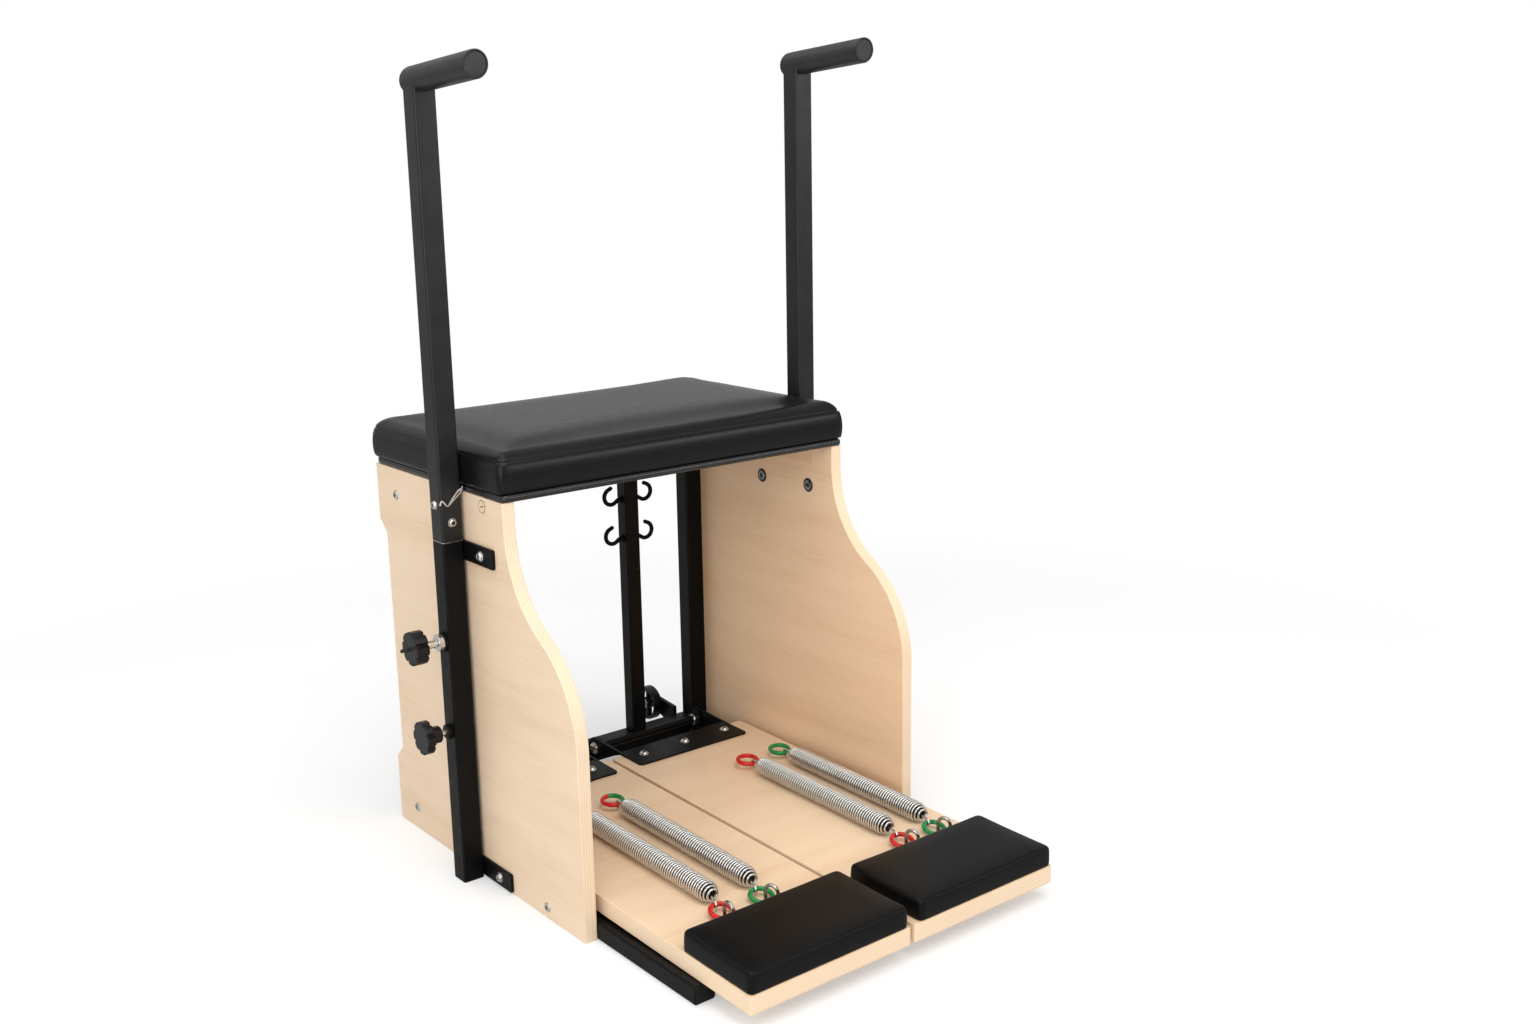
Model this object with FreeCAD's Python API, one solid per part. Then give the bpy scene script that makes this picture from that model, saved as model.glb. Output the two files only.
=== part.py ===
import FreeCAD, Part
import math
import os

# Pilates chair with split pedals, sizes in millimetres and degrees.
# X runs to the right seen from the front, the pedals point to -Y and Z is up.
# Lengths along Y are given from the front foot of the side panels.

# Side panels, birch plywood with a swept front edge
panel_thickness = 18.0
panel_height = 536.0
panel_depth = 503.0
panel_gap_half = 262.0
panel_step = 150.0
panel_sweep = 60.0
panel_sweep_height = 376.0
panel_recess = 19.0
panel_recess_low = 98.0
panel_recess_drop = 80.0
panel_recess_slope = 18.0

# Seat board and cushion
seat_board_thickness = 10.0
seat_front_overhang = 3.0
seat_rear_overhang = 9.0
seat_front_radius = 7.0
seat_rear_radius = 28.0
cushion_side_height = 37.5
cushion_crown = 19.5
cushion_seam_depth = 3.2
cushion_shoulder = 12.0
cushion_crown_reach = 96.0
angle_leg = 30.0
angle_thickness = 3.0
angle_front = 190.0
angle_rear_gap = 53.0

# Rear frame of square steel tube
tube_size = 30.0
tube_wall = 2.0
tube_corner = 3.0
rear_post_margin = 3.0
cross_tube_bottom = 10.0
hook_post_size = 25.0
hook_post_centre = 127.0
hook_drops = {"upper": 111.0, "lower": 174.0}
hook_rod_radius = 3.3
hook_bend_radius = 12.5
hook_neck_radius = 7.0
hook_neck_turn = 34.0
hook_neck_run = 5.0
hook_tip_turn = 96.0

# Floor rails that carry the lowered pedals
rail_height = 24.0
rail_front = -204.0
rail_plug = 4.0

# Handle sleeves outside the panels
sleeve_standoff = 4.0
sleeve_centre = 262.0
sleeve_drop = 64.0
tab_reach = 73.0
tab_height = 26.0
tab_low = 3.0
tab_corner = 3.0
sliding_clearance = 0.5

# Telescopic handle posts
inner_post_bottom = 6.0
splice_length = 68.0
grip_height = 1047.5
grip_radius = 17.0
grip_rise = 4.4
grip_front_reach = 144.0
grip_rear_reach = 24.0
grip_rear_round = 9.0
grip_front_chamfer = 1.5
grip_recess_rim = 2.8
grip_recess_depth = 1.5
clip_rise = 51.0
clip_radius = 1.3
clip_bend = 2.0
clip_gap = 0.05

# Pull pins and clamp screws on the sleeves
pin_height = 338.0
pin_radius = 4.0
pin_clearance = 0.08
pin_hole_clearance = 0.5
pin_hole_pitch = 28.0
pin_hole_count = 7
right_handle_stop = 1
pin_reach = 5.5
pin_nut_radius = 13.0
pin_nut_length = 4.0
pin_collar_radius = 11.5
pin_collar_length = 7.0
pin_shaft_radius = 5.5
pin_shaft_length = 19.7
pin_knob_thickness = 17.7
pin_stud_radius = 4.0
pin_stud_length = 13.0
clamp_height = 214.0
clamp_nut_radius = 10.0
clamp_nut_length = 6.0
clamp_shank_length = 9.0
clamp_neck_radius = 11.5
clamp_neck_length = 15.5
clamp_knob_thickness = 11.5
end_clearance = 0.3
knob_radius = 22.5
knob_lobes = 8
knob_scallop_radius = 4.5
knob_scallop_depth = 2.6
knob_chamfer = 1.5

# Pedals: boards hinged at the rear, resting at a slight slope
hinge_gap = 30.0
pivot_height = 48.0
pivot_radius = 6.0
pivot_clearance = 0.06
pivot_head_radius = 10.0
pivot_head_length = 5.0
pedal_reach = 734.0
pedal_rest_slope = 1.0
board_thickness = 24.0
board_rise = 11.5
board_inner = 3.0
board_outer = 250.0
board_rear_gap = 75.0
board_corner = 4.0
pad_depth = 126.0
pad_height = 24.0
pad_inset = 1.5
pad_inner_margin = 5.5
pad_corner = 12.0
pad_edge_round = 8.0
bracket_inner = 20.0
bracket_outer = 223.0
bracket_thickness = 3.0
bracket_front_gap = 128.0
bracket_rear_gap = 68.0
ear_thickness = 4.0
ear_radius = 17.0
ear_front_gap = 90.0
lug_thickness = 6.0
lug_radius = 14.0
lug_clearance = 0.4

# Springs lying on the boards, each tied to a staple near the pad
spring_places = {
    "left_red": -155.0,
    "left_green": -93.0,
    "right_red": 143.0,
    "right_green": 206.0,
}
spring_radius = 14.0
spring_wire_radius = 2.6
spring_wire_sides = 4
spring_rear_gap = 79.2
spring_turns = 16
spring_taper_turns = 1.0
spring_end_run = 10.0
spring_clearance = 0.3
ring_radius = 14.2
ring_wire_radius = 2.9
ring_wire_sides = 6
ring_rest_clearance = 0.35
rear_ring_tilt = 10.0
staple_gap = 25.1
staple_wire_radius = 2.5
staple_wire_sides = 6
staple_radius = 8.5
staple_leg = 10.0
staple_turns = {
    "left_red": 0.0,
    "left_green": 25.0,
    "right_red": 25.0,
    "right_green": 25.0,
}

# Rear transport wheels
wheel_radius = 28.0
wheel_width = 17.0
wheel_rim = 5.0
wheel_hub_radius = 10.0
wheel_spokes = 4
wheel_spoke_width = 6.0
wheel_spoke_depth = 9.0
wheel_centre = 205.0
wheel_reach = 58.0
wheel_height = 46.5
wheel_arm_thickness = 7.0
wheel_arm_radius = 11.0
wheel_arm_margin = 3.0
wheel_arm_rise = 12.0
axle_radius = 5.0
axle_clearance = 0.06
axle_side_clearance = 0.4
axle_head_radius = 8.0
axle_head_length = 4.0

# Places that follow from the sizes above
panel_outer = panel_gap_half + panel_thickness
panel_recess_high = panel_height - panel_recess_drop
angle_rear = panel_depth - angle_rear_gap
seat_bottom = panel_height
seat_top = seat_bottom + seat_board_thickness
seat_front = panel_step - seat_front_overhang
seat_rear = panel_depth + seat_rear_overhang
cross_tube_rear = panel_depth - rear_post_margin
cross_tube_front = cross_tube_rear - tube_size
cross_tube_top = cross_tube_bottom + tube_size
cross_tube_middle = cross_tube_bottom + tube_size / 2
sleeve_inner = panel_outer + sleeve_standoff
sleeve_outer = sleeve_inner + tube_size
sleeve_axis = sleeve_inner + tube_size / 2
sleeve_height = panel_height - sleeve_drop
sleeve_front = sleeve_centre - tube_size / 2
sleeve_rear = sleeve_centre + tube_size / 2
inner_post_size = tube_size - 2 * tube_wall - 2 * sliding_clearance
inner_post_face = sleeve_axis + inner_post_size / 2
pivot_back = cross_tube_front - hinge_gap
board_top = pivot_height + board_rise
board_bottom = board_top - board_thickness
board_front = pivot_back - pedal_reach
board_rear = pivot_back - board_rear_gap
flange_top = board_top + bracket_thickness
spring_axis = board_top + spring_radius + spring_clearance
ring_low = board_top + ring_wire_radius + ring_rest_clearance
ring_tilt = math.degrees(math.asin((spring_axis - ring_low) / (2 * ring_radius)))
ring_run = 2 * ring_radius * math.cos(math.radians(ring_tilt))
ring_seat = spring_end_run + spring_clearance + ring_wire_radius
pad_inner = board_inner + pad_inner_margin
pad_rear = board_front + pad_inset + pad_depth
bracket_front = pivot_back - bracket_front_gap
staple_back = pad_rear + staple_gap
coil_front = staple_back + ring_run + ring_seat
rear_ring_front = bracket_front - spring_rear_gap - ring_wire_radius - ring_run
coil_rear = rear_ring_front - ring_seat
spring_length = coil_rear - coil_front
slope = math.radians(pedal_rest_slope)
front_end = pivot_back - pedal_reach * math.cos(slope) - board_rise * math.sin(slope)
wheel_back = cross_tube_rear + wheel_reach
rear_end = wheel_back + wheel_radius
middle_shift = -(front_end + rear_end) / 2


def vector(x, y, z):
    return FreeCAD.Vector(x, y, z)


def at_x(x):
    return lambda u, v: vector(x, u, v)


def at_y(y):
    return lambda u, v: vector(u, y, v)


def at_z(z):
    return lambda u, v: vector(u, v, z)


def segment(start, end):
    return Part.LineSegment(start, end).toShape()


def arc(start, through, end):
    return Part.Arc(start, through, end).toShape()


def polygon(points):
    return Part.makePolygon(points + points[:1])


def rounded_rect(place, u0, u1, v0, v1, radii):
    """Closed outline of four lines and four quarter arcs, corners in turning order."""
    inward = ((1, 1), (-1, 1), (-1, -1), (1, -1))
    corners = ((u0, v0), (u1, v0), (u1, v1), (u0, v1))
    arcs = []
    for turn, ((u, v), (su, sv), radius) in enumerate(zip(corners, inward, radii)):
        start = math.pi + turn * math.pi / 2
        centre_u = u + su * radius
        centre_v = v + sv * radius
        steps = [start + k * math.pi / 4 for k in range(3)]
        arcs.append([place(centre_u + radius * math.cos(a), centre_v + radius * math.sin(a)) for a in steps])
    edges = []
    for turn in range(4):
        edges.append(arc(*arcs[turn]))
        edges.append(segment(arcs[turn][2], arcs[(turn + 1) % 4][0]))
    return Part.Wire(edges)


def prism(wire, run):
    return Part.Face(wire).extrude(run)


def square_tube(place, run, u0, u1, v0, v1, wall):
    inner_corner = max(tube_corner - wall, tube_corner / 4)
    outer = rounded_rect(place, u0, u1, v0, v1, [tube_corner] * 4)
    inner = rounded_rect(place, u0 + wall, u1 - wall, v0 + wall, v1 - wall, [inner_corner] * 4)
    return Part.Face(outer).extrude(run).cut(Part.Face(inner).extrude(run))


def cylinder_x(x0, x1, y, z, radius):
    return Part.makeCylinder(radius, x1 - x0, vector(x0, y, z), vector(1, 0, 0))


def ring_section(centre, normal, radius, sides):
    """Regular polygon outline that stands for a wire's section."""
    side = vector(1, 0, 0) if abs(normal.x) < 0.9 else vector(0, 1, 0)
    first = normal.cross(side).normalize()
    second = normal.cross(first).normalize()
    turns = [2 * math.pi * (k + 0.5) / sides for k in range(sides)]
    return polygon([centre + first * (radius * math.cos(a)) + second * (radius * math.sin(a)) for a in turns])


def wire_rod(edges, start, heading, radius, sides):
    """Wire of even section swept along lines and tangent arcs."""
    section = ring_section(start, heading, radius, sides)
    return Part.Wire(edges).makePipeShell([section], True, False)


def bent_path(place, u, v, heading, moves):
    """Lines and tangent arcs in one plane; a move is (length, 0) or (radius, turn)."""
    edges = []
    angle = math.radians(heading)
    for size, turn in moves:
        if turn == 0:
            nu = u + size * math.cos(angle)
            nv = v + size * math.sin(angle)
            edges.append(segment(place(u, v), place(nu, nv)))
        else:
            side = math.copysign(math.pi / 2, turn)
            cu = u + size * math.cos(angle + side)
            cv = v + size * math.sin(angle + side)
            steps = [angle - side + math.radians(turn) * k / 2 for k in (1, 2)]
            (mu, mv), (nu, nv) = [(cu + size * math.cos(a), cv + size * math.sin(a)) for a in steps]
            edges.append(arc(place(u, v), place(mu, mv), place(nu, nv)))
            angle += math.radians(turn)
        u, v = nu, nv
    return edges


def rounded_path(points, radius):
    """Straight runs through points, with every inner corner rounded."""
    edges = []
    last = points[0]
    for before, corner, after in zip(points, points[1:], points[2:]):
        incoming = (corner - before).normalize()
        outgoing = (after - corner).normalize()
        half_turn = incoming.getAngle(outgoing) / 2
        cut = radius * math.tan(half_turn)
        start = corner - incoming * cut
        end = corner + outgoing * cut
        inward = (outgoing - incoming).normalize()
        through = corner + inward * (radius / math.cos(half_turn) - radius)
        edges.append(segment(last, start))
        edges.append(arc(start, through, end))
        last = end
    edges.append(segment(last, points[-1]))
    return edges


def side_panel():
    """Plywood side, its front edge swept back to the seat by two arcs."""
    turn = math.radians(panel_sweep)
    radius = panel_step / (2 * (1 - math.cos(turn)))
    low = panel_sweep_height - radius * math.sin(turn)
    high = panel_sweep_height + radius * math.sin(turn)
    place = at_x(panel_gap_half)

    def lower(a):
        return place(radius - radius * math.cos(a), low + radius * math.sin(a))

    def upper(a):
        return place(panel_step - radius + radius * math.cos(a), high - radius * math.sin(a))

    recess = panel_depth - panel_recess
    outline = [
        (panel_step, panel_height),
        (panel_depth, panel_height),
        (panel_depth, panel_recess_high),
        (recess, panel_recess_high - panel_recess_slope),
        (recess, panel_recess_low + panel_recess_slope),
        (panel_depth, panel_recess_low),
        (panel_depth, 0.0),
        (0.0, 0.0),
    ]
    corners = [upper(0)] + [place(*p) for p in outline] + [lower(0)]
    edges = [segment(a, b) for a, b in zip(corners, corners[1:])]
    edges.append(arc(lower(0), lower(turn / 2), lower(turn)))
    edges.append(arc(upper(turn), upper(turn / 2), upper(0)))
    return prism(Part.Wire(edges), vector(panel_thickness, 0, 0))


def seat_radii(inset):
    front = seat_front_radius + inset / 4
    rear = seat_rear_radius - inset / 6
    return [front, front, rear, rear]


def seat_outline(z, inset):
    side = panel_outer - inset
    return rounded_rect(at_z(z), -side, side, seat_front + inset, seat_rear - inset, seat_radii(inset))


def seat_board():
    return prism(seat_outline(seat_bottom, 0), vector(0, 0, seat_board_thickness))


def seat_cushion():
    """Upholstered seat with drawn-in sides, a sewn edge all round and a crowned top."""
    side = cushion_side_height
    seam = cushion_seam_depth
    sections = [
        (0.0, seam),
        (side * 0.14, seam * 0.3),
        (side * 0.55, 0.0),
        (side * 0.9, seam * 0.4),
        (side, seam),
        (side + seam, seam * 0.8),
    ]
    top = cushion_crown - seam
    reach = cushion_crown_reach - cushion_shoulder
    for share in (0.0, 0.3, 1.0):
        rise = 0.42 + 0.58 * math.sin(share * math.pi / 2)
        sections.append((side + seam + top * rise, cushion_shoulder + reach * share))
    return Part.makeLoft([seat_outline(seat_top + h, inset) for h, inset in sections], True, True)


def seat_angle():
    """Steel angle that ties the seat board to the panel."""
    top = seat_bottom
    outer = panel_gap_half
    inner = outer - angle_leg
    place = at_y(angle_front)
    outline = [
        (inner, top),
        (outer, top),
        (outer, top - angle_leg),
        (outer - angle_thickness, top - angle_leg),
        (outer - angle_thickness, top - angle_thickness),
        (inner, top - angle_thickness),
    ]
    return prism(polygon([place(*p) for p in outline]), vector(0, angle_rear - angle_front, 0))


def hinge_lug(x0):
    """Plate on the cross tube that carries the pivot rod."""
    place = at_x(x0)
    front = cross_tube_front
    edges = [
        segment(place(front, cross_tube_bottom), place(front, cross_tube_top)),
        segment(place(front, cross_tube_top), place(pivot_back, pivot_height + lug_radius)),
        arc(
            place(pivot_back, pivot_height + lug_radius),
            place(pivot_back - lug_radius, pivot_height),
            place(pivot_back, pivot_height - lug_radius),
        ),
        segment(place(pivot_back, pivot_height - lug_radius), place(front, cross_tube_bottom)),
    ]
    plate = prism(Part.Wire(edges), vector(lug_thickness, 0, 0))
    bore = cylinder_x(x0, x0 + lug_thickness, pivot_back, pivot_height, pivot_radius + pivot_clearance)
    return plate.cut(bore)


def lug_places():
    inner = bracket_inner + ear_thickness + lug_clearance
    outer = bracket_outer - ear_thickness - lug_clearance - lug_thickness
    return [inner, outer, -inner - lug_thickness, -outer - lug_thickness]


def rear_cross_tube():
    tube = square_tube(
        at_x(-panel_gap_half),
        vector(2 * panel_gap_half, 0, 0),
        cross_tube_front,
        cross_tube_rear,
        cross_tube_bottom,
        cross_tube_top,
        tube_wall,
    )
    return tube.fuse([hinge_lug(x) for x in lug_places()]).removeSplitter()


def rear_post():
    return square_tube(
        at_z(cross_tube_top),
        vector(0, 0, seat_bottom - cross_tube_top),
        panel_gap_half - tube_size,
        panel_gap_half,
        cross_tube_front,
        cross_tube_rear,
        tube_wall,
    )


def hook_post():
    """Upright with a bore across it for each pair of hooks."""
    half = hook_post_size / 2
    middle = cross_tube_front + half
    post = square_tube(
        at_z(cross_tube_top),
        vector(0, 0, seat_bottom - cross_tube_top),
        hook_post_centre - half,
        hook_post_centre + half,
        cross_tube_front,
        cross_tube_front + hook_post_size,
        tube_wall,
    )
    for drop in hook_drops.values():
        z = seat_bottom - drop
        post = post.cut(cylinder_x(hook_post_centre - half, hook_post_centre + half, middle, z, hook_rod_radius))
    return post


def hook_pair(z):
    """Rod through the post, both ends bent up into open hooks."""
    half = hook_post_size / 2
    place = at_y(cross_tube_front + half)
    moves = [
        (half + hook_rod_radius, 0),
        (hook_neck_radius, -hook_neck_turn),
        (hook_neck_run, 0),
        (hook_bend_radius, hook_neck_turn + 90 + hook_tip_turn),
    ]
    start = place(hook_post_centre, z)
    right = wire_rod(
        bent_path(place, hook_post_centre, z, 0, moves), start, vector(1, 0, 0), hook_rod_radius, ring_wire_sides
    )
    left = right.mirror(vector(hook_post_centre, 0, 0), vector(1, 0, 0))
    return right.fuse(left).removeSplitter()


def floor_rail():
    """Rectangular tube on the floor, plugged at its front end."""
    inner = panel_gap_half - tube_size
    tube = square_tube(
        at_y(rail_front),
        vector(0, cross_tube_front - rail_front, 0),
        inner,
        panel_gap_half,
        0.0,
        rail_height,
        tube_wall,
    )
    wall = tube_wall / 2
    plug_outline = rounded_rect(
        at_y(rail_front), inner + wall, panel_gap_half - wall, wall, rail_height - wall, [tube_corner] * 4
    )
    return tube.fuse(prism(plug_outline, vector(0, rail_plug, 0))).removeSplitter()


def sleeve_tab(low):
    outline = rounded_rect(
        at_x(panel_outer),
        sleeve_front - tab_reach,
        sleeve_rear - tube_corner,
        low,
        low + tab_height,
        [tab_corner] * 4,
    )
    return prism(outline, vector(sleeve_standoff, 0, 0))


def handle_sleeve():
    """Square sleeve with two bolting tabs, the pin's collar and the clamp's nut."""
    tube = square_tube(
        at_z(0.0),
        vector(0, 0, sleeve_height),
        sleeve_inner,
        sleeve_outer,
        sleeve_front,
        sleeve_rear,
        tube_wall,
    )
    collar_start = sleeve_outer + pin_nut_length
    collar_end = collar_start + pin_collar_length
    nut_end = sleeve_outer + clamp_nut_length
    wall_start = sleeve_outer - tube_wall
    additions = [
        sleeve_tab(sleeve_height - tab_height),
        sleeve_tab(tab_low),
        cylinder_x(wall_start, collar_start, sleeve_centre, pin_height, pin_nut_radius),
        cylinder_x(wall_start, collar_end, sleeve_centre, pin_height, pin_collar_radius),
        cylinder_x(wall_start, nut_end, sleeve_centre, clamp_height, clamp_nut_radius),
    ]
    bore = pin_radius + pin_clearance
    body = tube.fuse(additions)
    body = body.cut(cylinder_x(wall_start, collar_end, sleeve_centre, pin_height, bore))
    body = body.cut(cylinder_x(wall_start, nut_end, sleeve_centre, clamp_height, bore))
    return body.removeSplitter()


def inner_post():
    """Sliding square tube with a row of stop holes for the pin."""
    half = inner_post_size / 2
    top = sleeve_height + splice_length
    post = square_tube(
        at_z(inner_post_bottom),
        vector(0, 0, top - inner_post_bottom),
        sleeve_axis - half,
        sleeve_axis + half,
        sleeve_centre - half,
        sleeve_centre + half,
        tube_wall,
    )
    for step in range(pin_hole_count):
        z = pin_height - step * pin_hole_pitch
        hole = cylinder_x(sleeve_axis, inner_post_face, sleeve_centre, z, pin_radius + pin_hole_clearance)
        post = post.cut(hole)
    return post


def grip_axis():
    rise = math.radians(grip_rise)
    return vector(0, -math.cos(rise), math.sin(rise))


def grip_bar(radius, rear, front):
    middle = vector(sleeve_axis, sleeve_centre, grip_height)
    return Part.makeCylinder(radius, rear + front, middle - grip_axis() * rear, grip_axis())


def end_edges(shape, along):
    """Round edges of a bar whose centre lies at one end of it."""
    middle = vector(sleeve_axis, sleeve_centre, grip_height)
    found = []
    for edge in shape.Edges:
        if isinstance(edge.Curve, Part.Circle):
            if abs((edge.Curve.Center - middle).dot(grip_axis()) - along) < grip_recess_depth / 2:
                found.append(edge)
    return found


def handle_grip():
    """Round hand bar, domed at the rear and dished behind its rim at the front."""
    bar = grip_bar(grip_radius, grip_rear_reach, grip_front_reach)
    bar = bar.makeFillet(grip_rear_round, end_edges(bar, -grip_rear_reach))
    bar = bar.makeChamfer(grip_front_chamfer, end_edges(bar, grip_front_reach))
    dish_radius = grip_radius - grip_recess_rim
    dish = grip_bar(dish_radius, grip_recess_depth - grip_front_reach, grip_front_reach)
    return bar.cut(dish)


def handle_post():
    """Upper square tube, saddled at its top to take the hand bar."""
    tube = square_tube(
        at_z(sleeve_height),
        vector(0, 0, grip_height - sleeve_height),
        sleeve_inner,
        sleeve_outer,
        sleeve_front,
        sleeve_rear,
        tube_wall,
    )
    return tube.cut(grip_bar(grip_radius, grip_rear_reach, grip_front_reach))


def post_clip():
    """Bent spring wire across the front of the post."""
    y = sleeve_front - clip_radius - clip_gap
    offsets = ((16.0, 0.5), (12.0, 5.5), (5.5, -2.0), (-13.0, 13.0), (-16.5, 20.5))
    points = [vector(sleeve_axis + x, y, sleeve_height + clip_rise + z) for x, z in offsets]
    heading = (points[1] - points[0]).normalize()
    return wire_rod(rounded_path(points, clip_bend), points[0], heading, clip_radius, ring_wire_sides)


def star_knob(start, z, thickness):
    """Hand knob with scalloped rim, its axis along X."""
    disc = cylinder_x(start, start + thickness, sleeve_centre, z, knob_radius)
    disc = disc.makeChamfer(knob_chamfer, [e for e in disc.Edges if isinstance(e.Curve, Part.Circle)])
    reach = knob_radius + knob_scallop_radius - knob_scallop_depth
    for lobe in range(knob_lobes):
        a = 2 * math.pi * (lobe + 0.5) / knob_lobes
        y = sleeve_centre + reach * math.cos(a)
        disc = disc.cut(cylinder_x(start, start + thickness, y, z + reach * math.sin(a), knob_scallop_radius))
    return disc


def pull_pin():
    """Locking pin with its shaft, star knob and stud end."""
    shoulder = sleeve_outer + pin_nut_length + pin_collar_length + end_clearance
    knob_start = shoulder + pin_shaft_length
    knob_end = knob_start + pin_knob_thickness
    tip = inner_post_face - tube_wall - pin_reach
    pieces = [
        cylinder_x(shoulder, knob_start, sleeve_centre, pin_height, pin_shaft_radius),
        star_knob(knob_start, pin_height, pin_knob_thickness),
        cylinder_x(knob_end, knob_end + pin_stud_length, sleeve_centre, pin_height, pin_stud_radius),
    ]
    return cylinder_x(tip, knob_start, sleeve_centre, pin_height, pin_radius).fuse(pieces).removeSplitter()


def clamp_knob():
    """Clamp screw that bears on the sliding post, with a necked star knob."""
    neck_start = sleeve_outer + clamp_nut_length + clamp_shank_length
    knob_start = neck_start + clamp_neck_length
    screw = cylinder_x(inner_post_face + end_clearance, knob_start, sleeve_centre, clamp_height, pin_radius)
    neck = cylinder_x(neck_start, knob_start, sleeve_centre, clamp_height, clamp_neck_radius)
    knob = star_knob(knob_start, clamp_height, clamp_knob_thickness)
    return screw.fuse([neck, knob]).removeSplitter()


def at_rest(shape):
    """Lowers a pedal piece from the level to the slope at which the pedal rests."""
    shape.rotate(vector(0, pivot_back, pivot_height), vector(1, 0, 0), pedal_rest_slope)
    return shape


def pedal_board():
    outline = rounded_rect(
        at_z(board_bottom), board_inner, board_outer, board_front, board_rear, [board_corner] * 4
    )
    return at_rest(prism(outline, vector(0, 0, board_thickness)))


def pedal_pad():
    """Moulded foam pad with rounded upper edges and a slight crown."""
    round_off = pad_edge_round
    wall = pad_height - round_off

    def outline(h, inset):
        inset = inset + pad_inset
        radii = [pad_corner - inset / 4] * 4
        near = board_front + inset
        far = pad_rear + pad_inset - inset
        return rounded_rect(at_z(board_top + h), pad_inner + inset, board_outer - inset, near, far, radii)

    sections = [outline(0.0, pad_inset), outline(pad_inset * 2, 0.0), outline(wall, 0.0)]
    for step in range(1, 4):
        a = step * math.pi / 6
        rise = wall + round_off * 0.85 * math.sin(a)
        sections.append(outline(rise, round_off * (1 - math.cos(a))))
    sections.append(outline(pad_height, round_off * 4))
    return at_rest(Part.makeLoft(sections, True, True))


def bracket_ear(x0):
    place = at_x(x0)
    front = pivot_back - ear_front_gap
    drop = board_rear + bracket_thickness
    top = place(pivot_back, pivot_height + ear_radius)
    low = place(pivot_back, pivot_height - ear_radius)
    edges = [
        segment(place(front, board_top), place(front, flange_top)),
        segment(place(front, flange_top), top),
        arc(top, place(pivot_back + ear_radius, pivot_height), low),
        segment(low, place(drop, board_top)),
        segment(place(drop, board_top), place(front, board_top)),
    ]
    return prism(Part.Wire(edges), vector(ear_thickness, 0, 0))


def hinge_bracket():
    """Folded plate on the board with two ears that turn on the pivot rod."""
    flange = Part.makeBox(
        bracket_outer - bracket_inner,
        bracket_front_gap - bracket_rear_gap,
        bracket_thickness,
        vector(bracket_inner, bracket_front, board_top),
    )
    body = flange.fuse([bracket_ear(bracket_inner), bracket_ear(bracket_outer - ear_thickness)])
    bore = cylinder_x(bracket_inner, bracket_outer, pivot_back, pivot_height, pivot_radius + pivot_clearance)
    return at_rest(body.cut(bore).removeSplitter())


def pivot_rod():
    """Hinge rod with a head outside each ear."""
    left = bracket_inner - end_clearance
    right = bracket_outer + end_clearance
    rod = cylinder_x(left, right, pivot_back, pivot_height, pivot_radius)
    heads = [
        cylinder_x(left - pivot_head_length, left, pivot_back, pivot_height, pivot_head_radius),
        cylinder_x(right, right + pivot_head_length, pivot_back, pivot_height, pivot_head_radius),
    ]
    return rod.fuse(heads).removeSplitter()


def spring_staple(x, turn):
    """Arched staple on the board that holds a spring's front ring, turned a little about its middle."""
    place = at_x(x)
    start = place(staple_back - staple_radius, board_top)
    moves = [(staple_leg, 0), (staple_radius, -90), (staple_radius, -90), (staple_leg, 0)]
    edges = bent_path(place, staple_back - staple_radius, board_top, 90, moves)
    staple = wire_rod(edges, start, vector(0, 0, 1), staple_wire_radius, staple_wire_sides)
    staple.rotate(vector(x, staple_back, board_top), vector(0, 0, 1), turn)
    return at_rest(staple)


def flat_ring(x, front, z, tilt):
    """Coated ring lying back from its front wire, tilted about that wire."""
    section = ring_section(vector(x, front, z), vector(1, 0, 0), ring_wire_radius, ring_wire_sides)
    ring = Part.Face(section).revolve(vector(x, front + ring_radius, z), vector(0, 0, 1), 360)
    ring.rotate(vector(x, front, z), vector(1, 0, 0), tilt)
    return at_rest(ring)


def front_ring(x):
    return flat_ring(x, staple_back, ring_low, ring_tilt)


def rear_ring(x):
    return flat_ring(x, rear_ring_front, spring_axis, rear_ring_tilt)


def coil_radius(turn):
    """Radius of the coil's middle line, drawn in to the axis at both ends."""
    ends = min(turn, spring_turns - turn) / spring_taper_turns
    share = min(max(ends, 0.0), 1.0)
    return (spring_radius - spring_wire_radius) * share * share * (3 - 2 * share)


def coil_point(x, turn):
    a = 2 * math.pi * turn
    radius = coil_radius(turn)
    y = coil_front + spring_length * turn / spring_turns
    return vector(x + radius * math.cos(a), y, spring_axis + radius * math.sin(a))


def coil_heading(x, turn):
    """Direction of the coil's middle line, straight along Y at its two ends."""
    if turn <= 0 or turn >= spring_turns:
        return vector(0, 1, 0)
    step = 1e-4
    return (coil_point(x, turn + step) - coil_point(x, turn - step)).normalize()


def arc_from(start, heading, end):
    """Arc that leaves a point along a heading and ends at another point."""
    chord = end - start
    length = chord.Length
    along = chord * (1 / length)
    half = math.acos(max(-1.0, min(1.0, heading.dot(along))))
    side = (heading - along * heading.dot(along)).normalize()
    return arc(start, start + chord * 0.5 + side * (length / 2 * math.tan(half / 2)), end)


def biarc(p0, t0, p1, t1):
    """Two arcs, tangent to each other and to a heading at each end."""
    v = p1 - p0
    both = t0 + t1
    square = 2 * (1 - t0.dot(t1))
    reach = v.dot(both)
    d = (math.sqrt(reach * reach + square * v.dot(v)) - reach) / square
    join = (p0 + t0 * d + p1 - t1 * d) * 0.5
    return [arc_from(p0, t0, join), arc_from(p1, t1 * -1, join)]


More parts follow.
